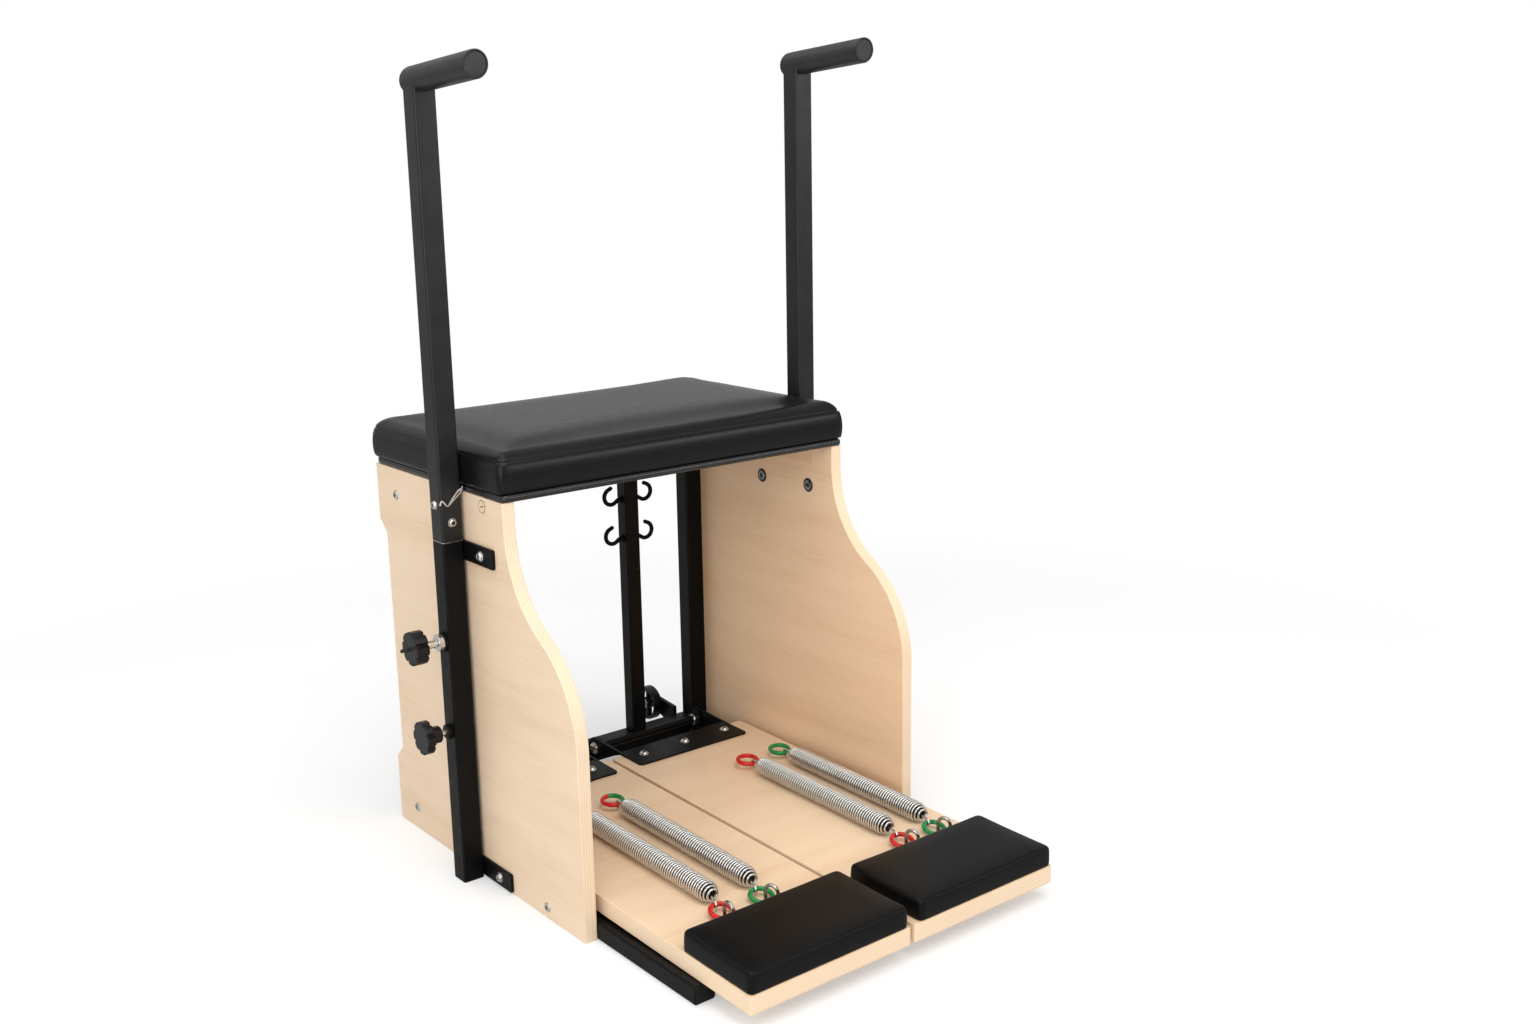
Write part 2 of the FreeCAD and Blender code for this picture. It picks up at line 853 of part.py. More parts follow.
def coil_self_gap(x):
    """Least distance between the wire of one turn and the next, from points on its middle line."""
    per_turn = 24
    points = [coil_point(x, k / per_turn) for k in range(spring_turns * per_turn + 1)]
    apart = [points[k].distanceToPoint(points[k + per_turn]) for k in range(len(points) - per_turn)]
    return min(apart) - 2 * spring_wire_radius


def spring_coil(x):
    """One unbroken wire: a straight end, the tapered coil and the other straight end."""
    start = vector(x, coil_front - spring_end_run, spring_axis)
    end = vector(x, coil_rear + spring_end_run, spring_axis)
    stops = [k / 2 for k in range(2 * spring_turns + 1)]
    edges = [segment(start, coil_point(x, 0))]
    for a, b in zip(stops, stops[1:]):
        edges += biarc(coil_point(x, a), coil_heading(x, a), coil_point(x, b), coil_heading(x, b))
    edges.append(segment(coil_point(x, spring_turns), end))
    path = Part.Wire(Part.__sortEdges__(edges)).Edges
    return at_rest(wire_rod(path, start, vector(0, 1, 0), spring_wire_radius, spring_wire_sides))


def wheel_arm():
    """Arm from the cross tube to the wheel, with its axle and the axle's head."""
    x0 = wheel_centre + wheel_width / 2 + axle_side_clearance
    place = at_x(x0)
    start = cross_tube_rear
    top = place(wheel_back, wheel_height + wheel_arm_radius)
    low = place(wheel_back, wheel_height - wheel_arm_radius)
    high_root = place(start, cross_tube_top + wheel_arm_rise)
    low_root = place(start, cross_tube_bottom + wheel_arm_margin)
    edges = [
        segment(low_root, high_root),
        segment(high_root, top),
        arc(top, place(wheel_back + wheel_arm_radius, wheel_height), low),
        segment(low, low_root),
    ]
    arm = prism(Part.Wire(edges), vector(wheel_arm_thickness, 0, 0))
    head_end = wheel_centre - wheel_width / 2 - axle_side_clearance
    axle = cylinder_x(head_end - axle_head_length, x0, wheel_back, wheel_height, axle_radius)
    head = cylinder_x(head_end - axle_head_length, head_end, wheel_back, wheel_height, axle_head_radius)
    return arm.fuse([axle, head]).removeSplitter()


def wheel():
    """Open wheel: rim, hub and spokes."""
    half = wheel_width / 2
    left = wheel_centre - half
    right = wheel_centre + half
    rim = cylinder_x(left, right, wheel_back, wheel_height, wheel_radius)
    rim = rim.cut(cylinder_x(left, right, wheel_back, wheel_height, wheel_radius - wheel_rim))
    hub = cylinder_x(left, right, wheel_back, wheel_height, wheel_hub_radius)
    spokes = []
    for number in range(wheel_spokes):
        bar = Part.makeBox(
            wheel_spoke_depth,
            wheel_spoke_width,
            wheel_radius - wheel_rim / 2,
            vector(wheel_centre - wheel_spoke_depth / 2, wheel_back - wheel_spoke_width / 2, wheel_height),
        )
        turn = 360.0 * number / wheel_spokes
        bar.rotate(vector(0, wheel_back, wheel_height), vector(1, 0, 0), turn)
        spokes.append(bar)
    body = rim.fuse([hub] + spokes)
    bore = cylinder_x(left, right, wheel_back, wheel_height, axle_radius + axle_clearance)
    return body.cut(bore).removeSplitter()


def export(name, shape):
    shape.translate(vector(0, middle_shift, 0))
    solids = shape.Solids
    if len(solids) == 1:
        shape = solids[0]
    shape.exportStep("parts/" + name + ".step")
    print(name, "solids", len(solids), "valid", shape.isValid(), "volume", round(shape.Volume))


def export_pair(name, shape):
    """Writes a piece for the right side and its mirror image for the left."""
    mirrored = shape.mirror(vector(0, 0, 0), vector(1, 0, 0))
    export(name + "_right", shape)
    export(name + "_left", mirrored)


def export_handle(name, shape):
    """Writes a handle's piece for both sides, the right one drawn up to its own stop."""
    mirrored = shape.mirror(vector(0, 0, 0), vector(1, 0, 0))
    shape.translate(vector(0, 0, right_handle_stop * pin_hole_pitch))
    export(name + "_right", shape)
    export(name + "_left", mirrored)


def main():
    os.makedirs("parts", exist_ok=True)
    export_pair("side_panel", side_panel())
    export("seat_board", seat_board())
    export("seat_cushion", seat_cushion())
    export_pair("seat_angle", seat_angle())
    export("rear_cross_tube", rear_cross_tube())
    export_pair("rear_post", rear_post())
    export_pair("hook_post", hook_post())
    for level, drop in hook_drops.items():
        export_pair("hook_pair_" + level, hook_pair(seat_bottom - drop))
    export_pair("floor_rail", floor_rail())
    export_pair("handle_sleeve", handle_sleeve())
    export_handle("inner_post", inner_post())
    export_handle("handle_post", handle_post())
    export_handle("handle_grip", handle_grip())
    export_handle("post_clip", post_clip())
    export_pair("pull_pin", pull_pin())
    export_pair("clamp_knob", clamp_knob())
    export_pair("pedal_board", pedal_board())
    export_pair("pedal_pad", pedal_pad())
    export_pair("hinge_bracket", hinge_bracket())
    export_pair("pivot_rod", pivot_rod())
    for name, x in spring_places.items():
        export("spring_staple_" + name, spring_staple(x, staple_turns[name]))
        export("spring_ring_front_" + name, front_ring(x))
        export("spring_ring_rear_" + name, rear_ring(x))
        export("spring_coil_" + name, spring_coil(x))
        print("least gap between turns", round(coil_self_gap(x), 2))
    export_pair("wheel_arm", wheel_arm())
    export_pair("wheel", wheel())


main()
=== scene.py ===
"""Looks of a pilates chair with split spring pedals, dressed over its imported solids.

Shapes are worked out in millimetres: X to the right seen from the front, Y rearward from the front foot
of the side panels, Z up from the floor. Pieces of the right side are mirrored for the left.
"""

import logging
import math
from dataclasses import dataclass, field, replace
from enum import Enum
from functools import lru_cache
from typing import Any, Callable, Protocol, Sequence

import bmesh
import bpy
import numpy as np
from mathutils import Matrix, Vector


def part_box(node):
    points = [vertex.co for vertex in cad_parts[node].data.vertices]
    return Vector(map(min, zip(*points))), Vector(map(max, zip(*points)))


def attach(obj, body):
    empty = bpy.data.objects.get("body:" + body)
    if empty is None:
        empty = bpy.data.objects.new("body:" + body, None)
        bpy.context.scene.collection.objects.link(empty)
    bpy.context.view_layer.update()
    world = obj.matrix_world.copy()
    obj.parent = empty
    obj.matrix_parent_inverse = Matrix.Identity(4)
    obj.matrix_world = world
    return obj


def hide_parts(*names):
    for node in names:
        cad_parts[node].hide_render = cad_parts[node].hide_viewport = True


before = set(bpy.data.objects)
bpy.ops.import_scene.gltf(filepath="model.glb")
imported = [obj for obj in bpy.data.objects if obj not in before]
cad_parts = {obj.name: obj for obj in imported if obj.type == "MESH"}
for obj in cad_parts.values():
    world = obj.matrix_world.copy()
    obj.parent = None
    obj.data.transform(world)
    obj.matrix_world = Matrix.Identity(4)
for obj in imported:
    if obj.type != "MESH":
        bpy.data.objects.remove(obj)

Array = np.ndarray
Socket = bpy.types.NodeSocket
Pair = tuple[float, float]
Triple = tuple[float, float, float]
Profile = tuple[Pair, ...]

log = logging.getLogger("chair")
MILLIMETRE = 0.001
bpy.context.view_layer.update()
FOOT_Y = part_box("side_panel_right")[0].y
X_WAY, Y_WAY, Z_WAY = np.eye(3)
PIVOT = (440.0, 48.0)
PIN_HEIGHT = 338.0
CLAMP_HEIGHT = 214.0
BOLT_POINTS = 24
NO_CREASE = 180.0


class Axis(Enum):
    """Direction along which a profile is carried."""

    X = "x"
    Y = "y"
    Z = "z"


class Side(Enum):
    """Side of the chair seen from the front, with the sign of its X."""

    LEFT = -1
    RIGHT = 1

    @property
    def word(self) -> str:
        """Name of the side as the nodes spell it."""
        return self.name.lower()


class SpringPlace(Enum):
    """Spring on the pedals: X of its axis, shift of its front ring, cut of its rear end, in millimetres."""

    LEFT_RED = (-155.0, -8.0, 0.0)
    LEFT_GREEN = (-93.0, -8.0, 0.0)
    RIGHT_RED = (143.0, -3.0, 8.0)
    RIGHT_GREEN = (206.0, -6.0, 7.0)

    @property
    def word(self) -> str:
        """Name of the spring as the nodes spell it."""
        return self.name.lower()

    @property
    def side(self) -> Side:
        """Side of the pedal that carries the spring."""
        return Side.LEFT if self.value[0] < 0 else Side.RIGHT


def extent(node: str) -> tuple[Array, Array]:
    """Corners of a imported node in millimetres, with Y from the panels' front foot.

    Args:
        node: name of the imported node.

    Returns:
        Lowest and highest corner.
    """
    low, high = (np.array(corner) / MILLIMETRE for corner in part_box(node))
    shift = Y_WAY * FOOT_Y / MILLIMETRE
    return low - shift, high - shift


def to_frame(points: Array) -> Array:
    """Points in millimetres from the front foot, as metres in the shared frame."""
    return points * MILLIMETRE + Y_WAY * FOOT_Y


# Shapes

@dataclass
class Shell:
    """Closed surface in millimetres: points, four-sided faces and flat end faces."""

    points: Array
    quads: Array
    caps: list[list[int]] = field(default_factory=list)

    def mapped(self, change: Callable[[Array], Array]) -> "Shell":
        """The shell with its points changed by a function of the whole array."""
        return Shell(change(self.points), self.quads, self.caps)

    def mirrored(self, side: Side) -> "Shell":
        """The shell on the given side, mirrored in X for the left one."""
        return self.mapped(lambda points: points * np.array([side.value, 1.0, 1.0]))

    def moved(self, shift: Sequence[float]) -> "Shell":
        """The shell shifted by a vector."""
        return self.mapped(lambda points: points + np.array(shift))


def join(shells: Sequence[Shell]) -> Shell:
    """Several shells as one.

    Args:
        shells: shells to put together.

    Returns:
        One shell with all their points and faces.
    """
    starts = np.cumsum([0] + [len(s.points) for s in shells[:-1]])
    caps = [[i + int(n) for i in cap] for s, n in zip(shells, starts) for cap in s.caps]
    quads = np.concatenate([s.quads + n for s, n in zip(shells, starts)])
    return Shell(np.concatenate([s.points for s in shells]), quads, caps)


def stand(u: Any, v: Any, w: Any, axis: Axis) -> Array:
    """Points from profile coordinates and a coordinate along an axis.

    Args:
        u: first profile coordinate, the earlier letter of the two left by the axis.
        v: second profile coordinate.
        w: coordinate along the axis.
        axis: direction along which the profile is carried.

    Returns:
        Points with X, Y, Z on the last dimension.
    """
    order = {Axis.X: (w, u, v), Axis.Y: (u, w, v), Axis.Z: (u, v, w)}[axis]
    return np.stack(np.broadcast_arrays(*order), axis=-1).astype(float)


def grid_quads(index: Array) -> Array:
    """Faces between neighbouring point numbers of a grid."""
    corners = [index[:-1, :-1], index[:-1, 1:], index[1:, 1:], index[1:, :-1]]
    return np.stack(corners, axis=-1).reshape(-1, 4)


def loft(rows: Array, ring: bool = False) -> Shell:
    """Skin over closed outlines: point (i, j) joins (i + 1, j) and (i, j + 1), with j closing on itself.

    Args:
        rows: outlines as (outline, point, 3).
        ring: whether the last outline joins the first one.

    Returns:
        The skin, with flat ends unless it is a ring.
    """
    index = np.arange(rows.shape[0] * rows.shape[1]).reshape(rows.shape[:2])
    caps = [] if ring else [index[0][::-1].tolist(), index[-1].tolist()]
    closed = np.pad(index, ((0, int(ring)), (0, 1)), mode="wrap")
    return Shell(rows.reshape(-1, 3), grid_quads(closed), caps)


def angles(count: int) -> Array:
    """Even run of angles round a full turn."""
    return np.linspace(0, 2 * np.pi, count, endpoint=False)


def hexagon(count: int, flat: float = math.cos(math.pi / 6)) -> Array:
    """Radii of a hexagon within a circle of one: the flats' distance over the cosine from their middles."""
    return np.minimum(1.0, flat / np.cos(np.mod(angles(count), np.pi / 3) - np.pi / 6))


def arc(centre: Sequence[float], radius: float, start: float, end: float, steps: int) -> Array:
    """Points of a circular arc: centre plus radius times the cosine and sine of an even run of angles.

    Args:
        centre: centre of the arc.
        radius: its radius.
        start: first angle in degrees.
        end: last angle in degrees.
        steps: number of chords.

    Returns:
        Points as (steps + 1, 2).
    """
    a = np.radians(np.linspace(start, end, steps + 1))
    return np.array(centre) + radius * np.stack([np.cos(a), np.sin(a)], axis=-1)


def rounded_loop(low: Sequence[float], high: Sequence[float], radii: Any, steps: int = 5) -> Array:
    """Rectangle with round corners: four quarter arcs in turning order, joined by straight sides.

    Args:
        low: lowest corner.
        high: highest corner.
        radii: corner radii from the lowest corner on, or one for all.
        steps: chords of each quarter arc.

    Returns:
        Closed outline as (points, 2).
    """
    radius = np.broadcast_to(np.array(radii, dtype=float), (4,))
    corner = np.array([[low[0], low[1]], [high[0], low[1]], [high[0], high[1]], [low[0], high[1]]])
    centre = corner + np.array([[1, 1], [-1, 1], [-1, -1], [1, -1]]) * radius[:, None]
    quarters = [arc(centre[i], radius[i], 180.0 + 90.0 * i, 270.0 + 90.0 * i, steps) for i in range(4)]
    return np.concatenate(quarters)


def inward(outline: Array) -> Array:
    """Mitred inward normals of a closed outline: the sum of both sides' normals over one plus their product.

    Args:
        outline: closed outline as (points, 2).

    Returns:
        One vector for each point, which moves both its sides inward by one.
    """
    following = np.roll(outline, -1, axis=0)
    edge = following - outline
    edge = edge / np.linalg.norm(edge, axis=1, keepdims=True)
    area = np.sum(outline[:, 0] * following[:, 1] - outline[:, 1] * following[:, 0])
    after = np.stack([-edge[:, 1], edge[:, 0]], axis=-1) * np.sign(area)
    before = np.roll(after, 1, axis=0)
    return (after + before) / (1 + np.sum(after * before, axis=1, keepdims=True))


def round_edges(low: float, high: float, edge: float, steps: int = 3) -> tuple[Array, Array]:
    """Rows of a plate with a quarter round at both faces: edge times one less the sine, and less the cosine.

    Args:
        low: coordinate of the first face.
        high: coordinate of the last face.
        edge: radius of the round edges.
        steps: chords of each quarter round.

    Returns:
        How far each row lies inside the outline, and its level.
    """
    a = np.linspace(0, np.pi / 2, steps + 1)
    inset = edge * (1 - np.sin(a))
    rise = edge * (1 - np.cos(a))
    return np.concatenate([inset, inset[::-1]]), np.concatenate([low + rise, (high - rise)[::-1]])


def plate(outline: Array, low: float, high: float, edge: float, axis: Axis) -> Shell:
    """Outline carried along an axis, with quarter-round edges at both faces.

    Args:
        outline: closed outline as (points, 2).
        low: coordinate of the first face.
        high: coordinate of the last face.
        edge: radius of the round edges.
        axis: direction along which the outline is carried.

    Returns:
        The closed plate.
    """
    inset, level = round_edges(low, high, edge)
    uv = outline[None] + inset[:, None, None] * inward(outline)[None]
    return loft(stand(uv[..., 0], uv[..., 1], level[:, None], axis))


@dataclass(frozen=True)
class TubeStock:
    """Rectangular steel tube: wall, corner radius and the small break of its cut ends."""

    wall: float = 2.0
    corner: float = 3.2
    lip: float = 0.5

    def run(self, low: Sequence[float], high: Sequence[float], start: Any, end: Any, axis: Axis) -> Shell:
        """Length of tube: the outer outline runs up, turns in over the cut end and runs down inside.

        Args:
            low: lowest corner of the section.
            high: highest corner of the section.
            start: coordinate of the first cut, one number or a function of the section's points.
            end: coordinate of the last cut, one number or a function of the section's points.
            axis: direction of the tube.

        Returns:
            The hollow tube.
        """
        outer = rounded_loop(low, high, self.corner)
        broken = outer + self.lip * inward(outer)
        inner = outer + self.wall * inward(outer)
        steps = [(broken, start, 0.0), (outer, start, self.lip), (outer, end, -self.lip)]
        steps += [(broken, end, 0.0), (inner, end, 0.0), (inner, start, 0.0)]
        rows = []
        for uv, cut, lip in steps:
            level = cut(uv) if callable(cut) else cut
            rows.append(stand(uv[:, 0], uv[:, 1], level + lip, axis))
        return loft(np.stack(rows), ring=True)


def spun(along: Array, radius: Array, centre: Sequence[float], axis: Axis) -> Shell:
    """Rows of radii carried round an axis, their points at even angles.

    Args:
        along: place of each row, or of each point of it, along the axis.
        radius: radii as (row, point).
        centre: place of the axis in the other two coordinates.
        axis: direction of the axis.

    Returns:
        The closed piece.
    """
    a = angles(radius.shape[1])
    along = along.reshape(len(radius), -1)
    return loft(stand(centre[0] + radius * np.cos(a), centre[1] + radius * np.sin(a), along, axis))


def turned(profile: Sequence[Pair], centre: Sequence[float], axis: Axis, segments: int = 32) -> Shell:
    """Turned piece: each (distance, radius) of the profile carried round the axis.

    Args:
        profile: distances along the axis and radii.
        centre: place of the axis in the other two coordinates.
        axis: direction of the axis.
        segments: points of each circle.

    Returns:
        The closed piece.
    """
    along, radius = np.array(profile, dtype=float).T
    return spun(along, np.repeat(radius[:, None], segments, axis=1), centre, axis)


def wire(path: Array, radius: float, reference: Array, sides: int = 12, closed: bool = False) -> Shell:
    """Round wire along a path: circles across the path's tangent, laid out from a reference direction.

    Args:
        path: points of the middle line.
        radius: radius of the wire.
        reference: direction, one for all or one for each point, that is never along the path.
        sides: points of each circle.
        closed: whether the path closes on itself; an open wire gets round tips.

    Returns:
        The closed wire.
    """
    around = np.roll(path, -1, axis=0) - np.roll(path, 1, axis=0)
    tangent = around if closed else np.gradient(path, axis=0)
    tangent = tangent / np.linalg.norm(tangent, axis=1, keepdims=True)
    second = np.cross(tangent, np.broadcast_to(reference, path.shape))
    second = second / np.linalg.norm(second, axis=1, keepdims=True)
    first = np.cross(second, tangent)
    size = np.full(len(path), radius)
    if not closed:
        tip = np.radians([75.0, 50.0, 25.0])
        reach = (radius * np.sin(tip))[:, None]
        path = np.concatenate([path[:1] - tangent[:1] * reach, path, path[-1:] + tangent[-1:] * reach[::-1]])
        size = np.concatenate([radius * np.cos(tip), size, radius * np.cos(tip[::-1])])
        first, second = (np.pad(way, ((3, 3), (0, 0)), mode="edge") for way in (first, second))
    a = angles(sides)[None, :, None]
    rows = path[:, None] + size[:, None, None] * (np.cos(a) * first[:, None] + np.sin(a) * second[:, None])
    return loft(rows, ring=closed)


def bent(start: Sequence[float], heading: float, moves: Sequence[Pair], step: float = 0.8) -> Array:
    """Flat path of straight runs and tangent arcs.

    Args:
        start: first point.
        heading: first direction in degrees.
        moves: (length, 0) for a straight run and (radius, turn in degrees) for an arc.
        step: distance between points.

    Returns:
        Points as (points, 2).
    """
    point = np.array(start, dtype=float)
    runs = [point[None]]
    for size, turn in moves:
        if turn == 0:
            reach = np.linspace(0, size, max(2, int(size / step)) + 1)[1:, None]
            run = point + reach * np.array([math.cos(math.radians(heading)), math.sin(math.radians(heading))])
        else:
            side = math.copysign(90.0, turn)
            centre = arc(point, size, heading + side, heading + side, 0)[0]
            steps = max(4, int(size * math.radians(abs(turn)) / step))
            run = arc(centre, size, heading - side, heading - side + turn, steps)[1:]
            heading += turn
        runs.append(run)
        point = run[-1]
    return np.concatenate(runs)


def smooth_path(points: Sequence[Sequence[float]], per_span: int = 8) -> Array:
    """Curve through points: on each span a cubic whose end slopes are half the chord of the neighbours.

    Args:
        points: points of the curve.
        per_span: steps of each span.

    Returns:
        Points along the curve.
    """
    known = np.array(points, dtype=float)
    slope = np.gradient(known, axis=0)
    t = np.linspace(0, 1, per_span, endpoint=False)[None, :, None]
    p0, p1, m0, m1 = (a[:, None] for a in (known[:-1], known[1:], slope[:-1], slope[1:]))
    cubic = (2 * t**3 - 3 * t**2 + 1) * p0 + (t**3 - 2 * t**2 + t) * m0
    cubic = cubic + (3 * t**2 - 2 * t**3) * p1 + (t**3 - t**2) * m1
    return np.concatenate([cubic.reshape(-1, known.shape[1]), known[-1:]])


@dataclass(frozen=True)
class SocketBolt:
    """Button-head bolt with a hexagon socket, on a thin washer."""

    head_radius: float = 6.0
    head_height: float = 3.4
    socket: float = 2.9
    socket_depth: float = 2.2
    washer_radius: float = 7.2
    washer: float = 0.9
    dome: Profile = ((0.0, 1.0), (0.35, 1.0), (0.7, 0.87), (0.92, 0.66))
    mouth: float = 1.28
    socket_shade_rows: Profile = ((0.05, 0.98), (0.5, 0.98), (0.6, 0.9))

    def shell(self, seat: Sequence[float], axis: Axis, way: float) -> Shell:
        """One bolt: circles rise over the head, turn to hexagons at the socket and go down into it.

        Args:
            seat: middle of the bolt on the surface that it seats on.
            axis: direction of the bolt.
            way: plus or minus one, the way the head points.

        Returns:
            The closed bolt.
        """
        top = self.washer + self.head_height
        rim = self.washer_radius
        round_rows = [(-0.4, rim), (self.washer * 0.7, rim), (self.washer, rim - 0.3)]
        round_rows += [(self.washer + self.head_height * h, self.head_radius * r) for h, r in self.dome]
        round_rows += [(top, self.socket * self.mouth)]
        sunk_rows = [(top - 0.15, self.socket * 1.04), (top - 0.5, self.socket)]
        sunk_rows += [(top - self.socket_depth, self.socket)]
        level, radius = np.array(round_rows + sunk_rows).T
        shape = np.ones((len(level), BOLT_POINTS))
        shape[len(round_rows):] = hexagon(BOLT_POINTS)
        return self.laid(radius[:, None] * shape, level, seat, axis, way)

    def floor(self, seat: Sequence[float], axis: Axis, way: float) -> Shell:
        """Dark hexagon at the bottom of the socket, a low plate of its own: painted shade in the socket.

        Args:
            seat: middle of the bolt on the surface that it seats on.
            axis: direction of the bolt.
            way: plus or minus one, the way the head points.

        Returns:
            The closed plate.
        """
        level, share = np.array(self.socket_shade_rows).T
        level = level + self.washer + self.head_height - self.socket_depth
        return self.laid(self.socket * share[:, None] * hexagon(BOLT_POINTS), level, seat, axis, way)

    def laid(self, radius: Array, level: Array, seat: Sequence[float], axis: Axis, way: float) -> Shell:
        """Rows of radii at levels over a seat.

        Args:
            radius: radii as (row, point).
            level: height of each row over the seat.
            seat: middle of the bolt on the surface that it seats on.
            axis: direction of the bolt.
            way: plus or minus one, the way the head points.

        Returns:
            The rows as a closed shell.
        """
        middle = dict(zip(Axis, seat))
        along = middle.pop(axis) + way * level
        return spun(along, radius, list(middle.values()), axis)


# Finishes

class NodeSheet:
    """Node tree of a material or of the surroundings, with short ways to add nodes and join them."""

    def __init__(self, owner: bpy.types.Material | bpy.types.World) -> None:
        """Starts with an empty tree."""
        self.owner = owner
        owner.use_nodes = True
        owner.node_tree.nodes.clear()

    def add(self, kind: str, inputs: dict[Any, Any] | None = None, **settings: Any) -> bpy.types.Node:
        """Adds a node.

        Args:
            kind: shader node type without its prefix.
            inputs: numbers for its sockets, or sockets to join to them.
            **settings: properties of the node.

        Returns:
            The node.
        """
        node = self.owner.node_tree.nodes.new("ShaderNode" + kind)
        for key, value in settings.items():
            setattr(node, key, value)
        for key, value in (inputs or {}).items():
            if isinstance(value, Socket):
                self.owner.node_tree.links.new(value, node.inputs[key])
            else:
                node.inputs[key].default_value = value
        return node

    def place(self, scale: Triple = (1.0, 1.0, 1.0), turn: Triple = (0.0, 0.0, 0.0)) -> Socket:
        """Object coordinates, turned by degrees and then scaled.

        Args:
            scale: scale along each axis.
            turn: turn about each axis.

        Returns:
            The vector socket.
        """
        vector = self.add("TexCoord").outputs["Object"]
        if any(turn):
            vector = self.add("Mapping", {"Vector": vector, "Rotation": np.radians(turn).tolist()}).outputs[0]
        return self.scaled(vector, scale)

    def scaled(self, vector: Socket, scale: Triple) -> Socket:
        """A vector scaled along each axis."""
        return self.add("Mapping", {"Vector": vector, "Scale": scale}).outputs[0]

    def noise(self, vector: Socket, scale: float, detail: float) -> Socket:
        """Value of a noise pattern."""
        return self.add("TexNoise", {"Vector": vector, "Scale": scale, "Detail": detail}).outputs[0]

    def ramp(self, value: Socket, stops: Sequence[tuple[float, Any]]) -> Socket:
        """Colours, or greys given as single numbers, spread over a value.

        Args:
            value: socket that drives the ramp.
            stops: positions with their colours.

        Returns:
            The colour socket.
        """
        node = self.add("ValToRGB", {0: value})
        elements = node.color_ramp.elements
        while len(elements) < len(stops):
            elements.new(0.5)
        for element, (position, colour) in zip(elements, stops):
            element.position = position
            rgb = colour if isinstance(colour, tuple) else (colour,) * 3
            element.color = (*rgb, 1.0)
        return node.outputs[0]

    def sums(self, operation: str, first: Any, second: Any = 0.0) -> Socket:
        """Result of an arithmetic node."""
        return self.add("Math", {0: first, 1: second}, operation=operation).outputs[0]

    def mixed(self, share: Any, first: Any, second: Any, blend: str = "MIX") -> Socket:
        """Two colours mixed by a share."""
        return self.add("Mix", {0: share, 6: first, 7: second}, data_type="RGBA", blend_type=blend).outputs[2]

    def bump(self, height: Socket, strength: float, distance: float) -> Socket:
        """Normal of a surface raised by a height value."""
        return self.add("Bump", {"Height": height, "Strength": strength, "Distance": distance}).outputs[0]

    def finish(self, inputs: dict[str, Any]) -> bpy.types.Material:
        """Ends the tree in one surface shader.

        Args:
            inputs: values and sockets of the shader.

        Returns:
            The material.
        """
        shader = self.add("BsdfPrincipled", inputs)
        self.add("OutputMaterial", {"Surface": shader.outputs[0]})
        return self.owner


class Finish(Protocol):
    """What dresses a piece: a name and slot of the record, and a material."""

    name: str
    slot: str

    def material(self) -> bpy.types.Material:
        """The material, made once."""


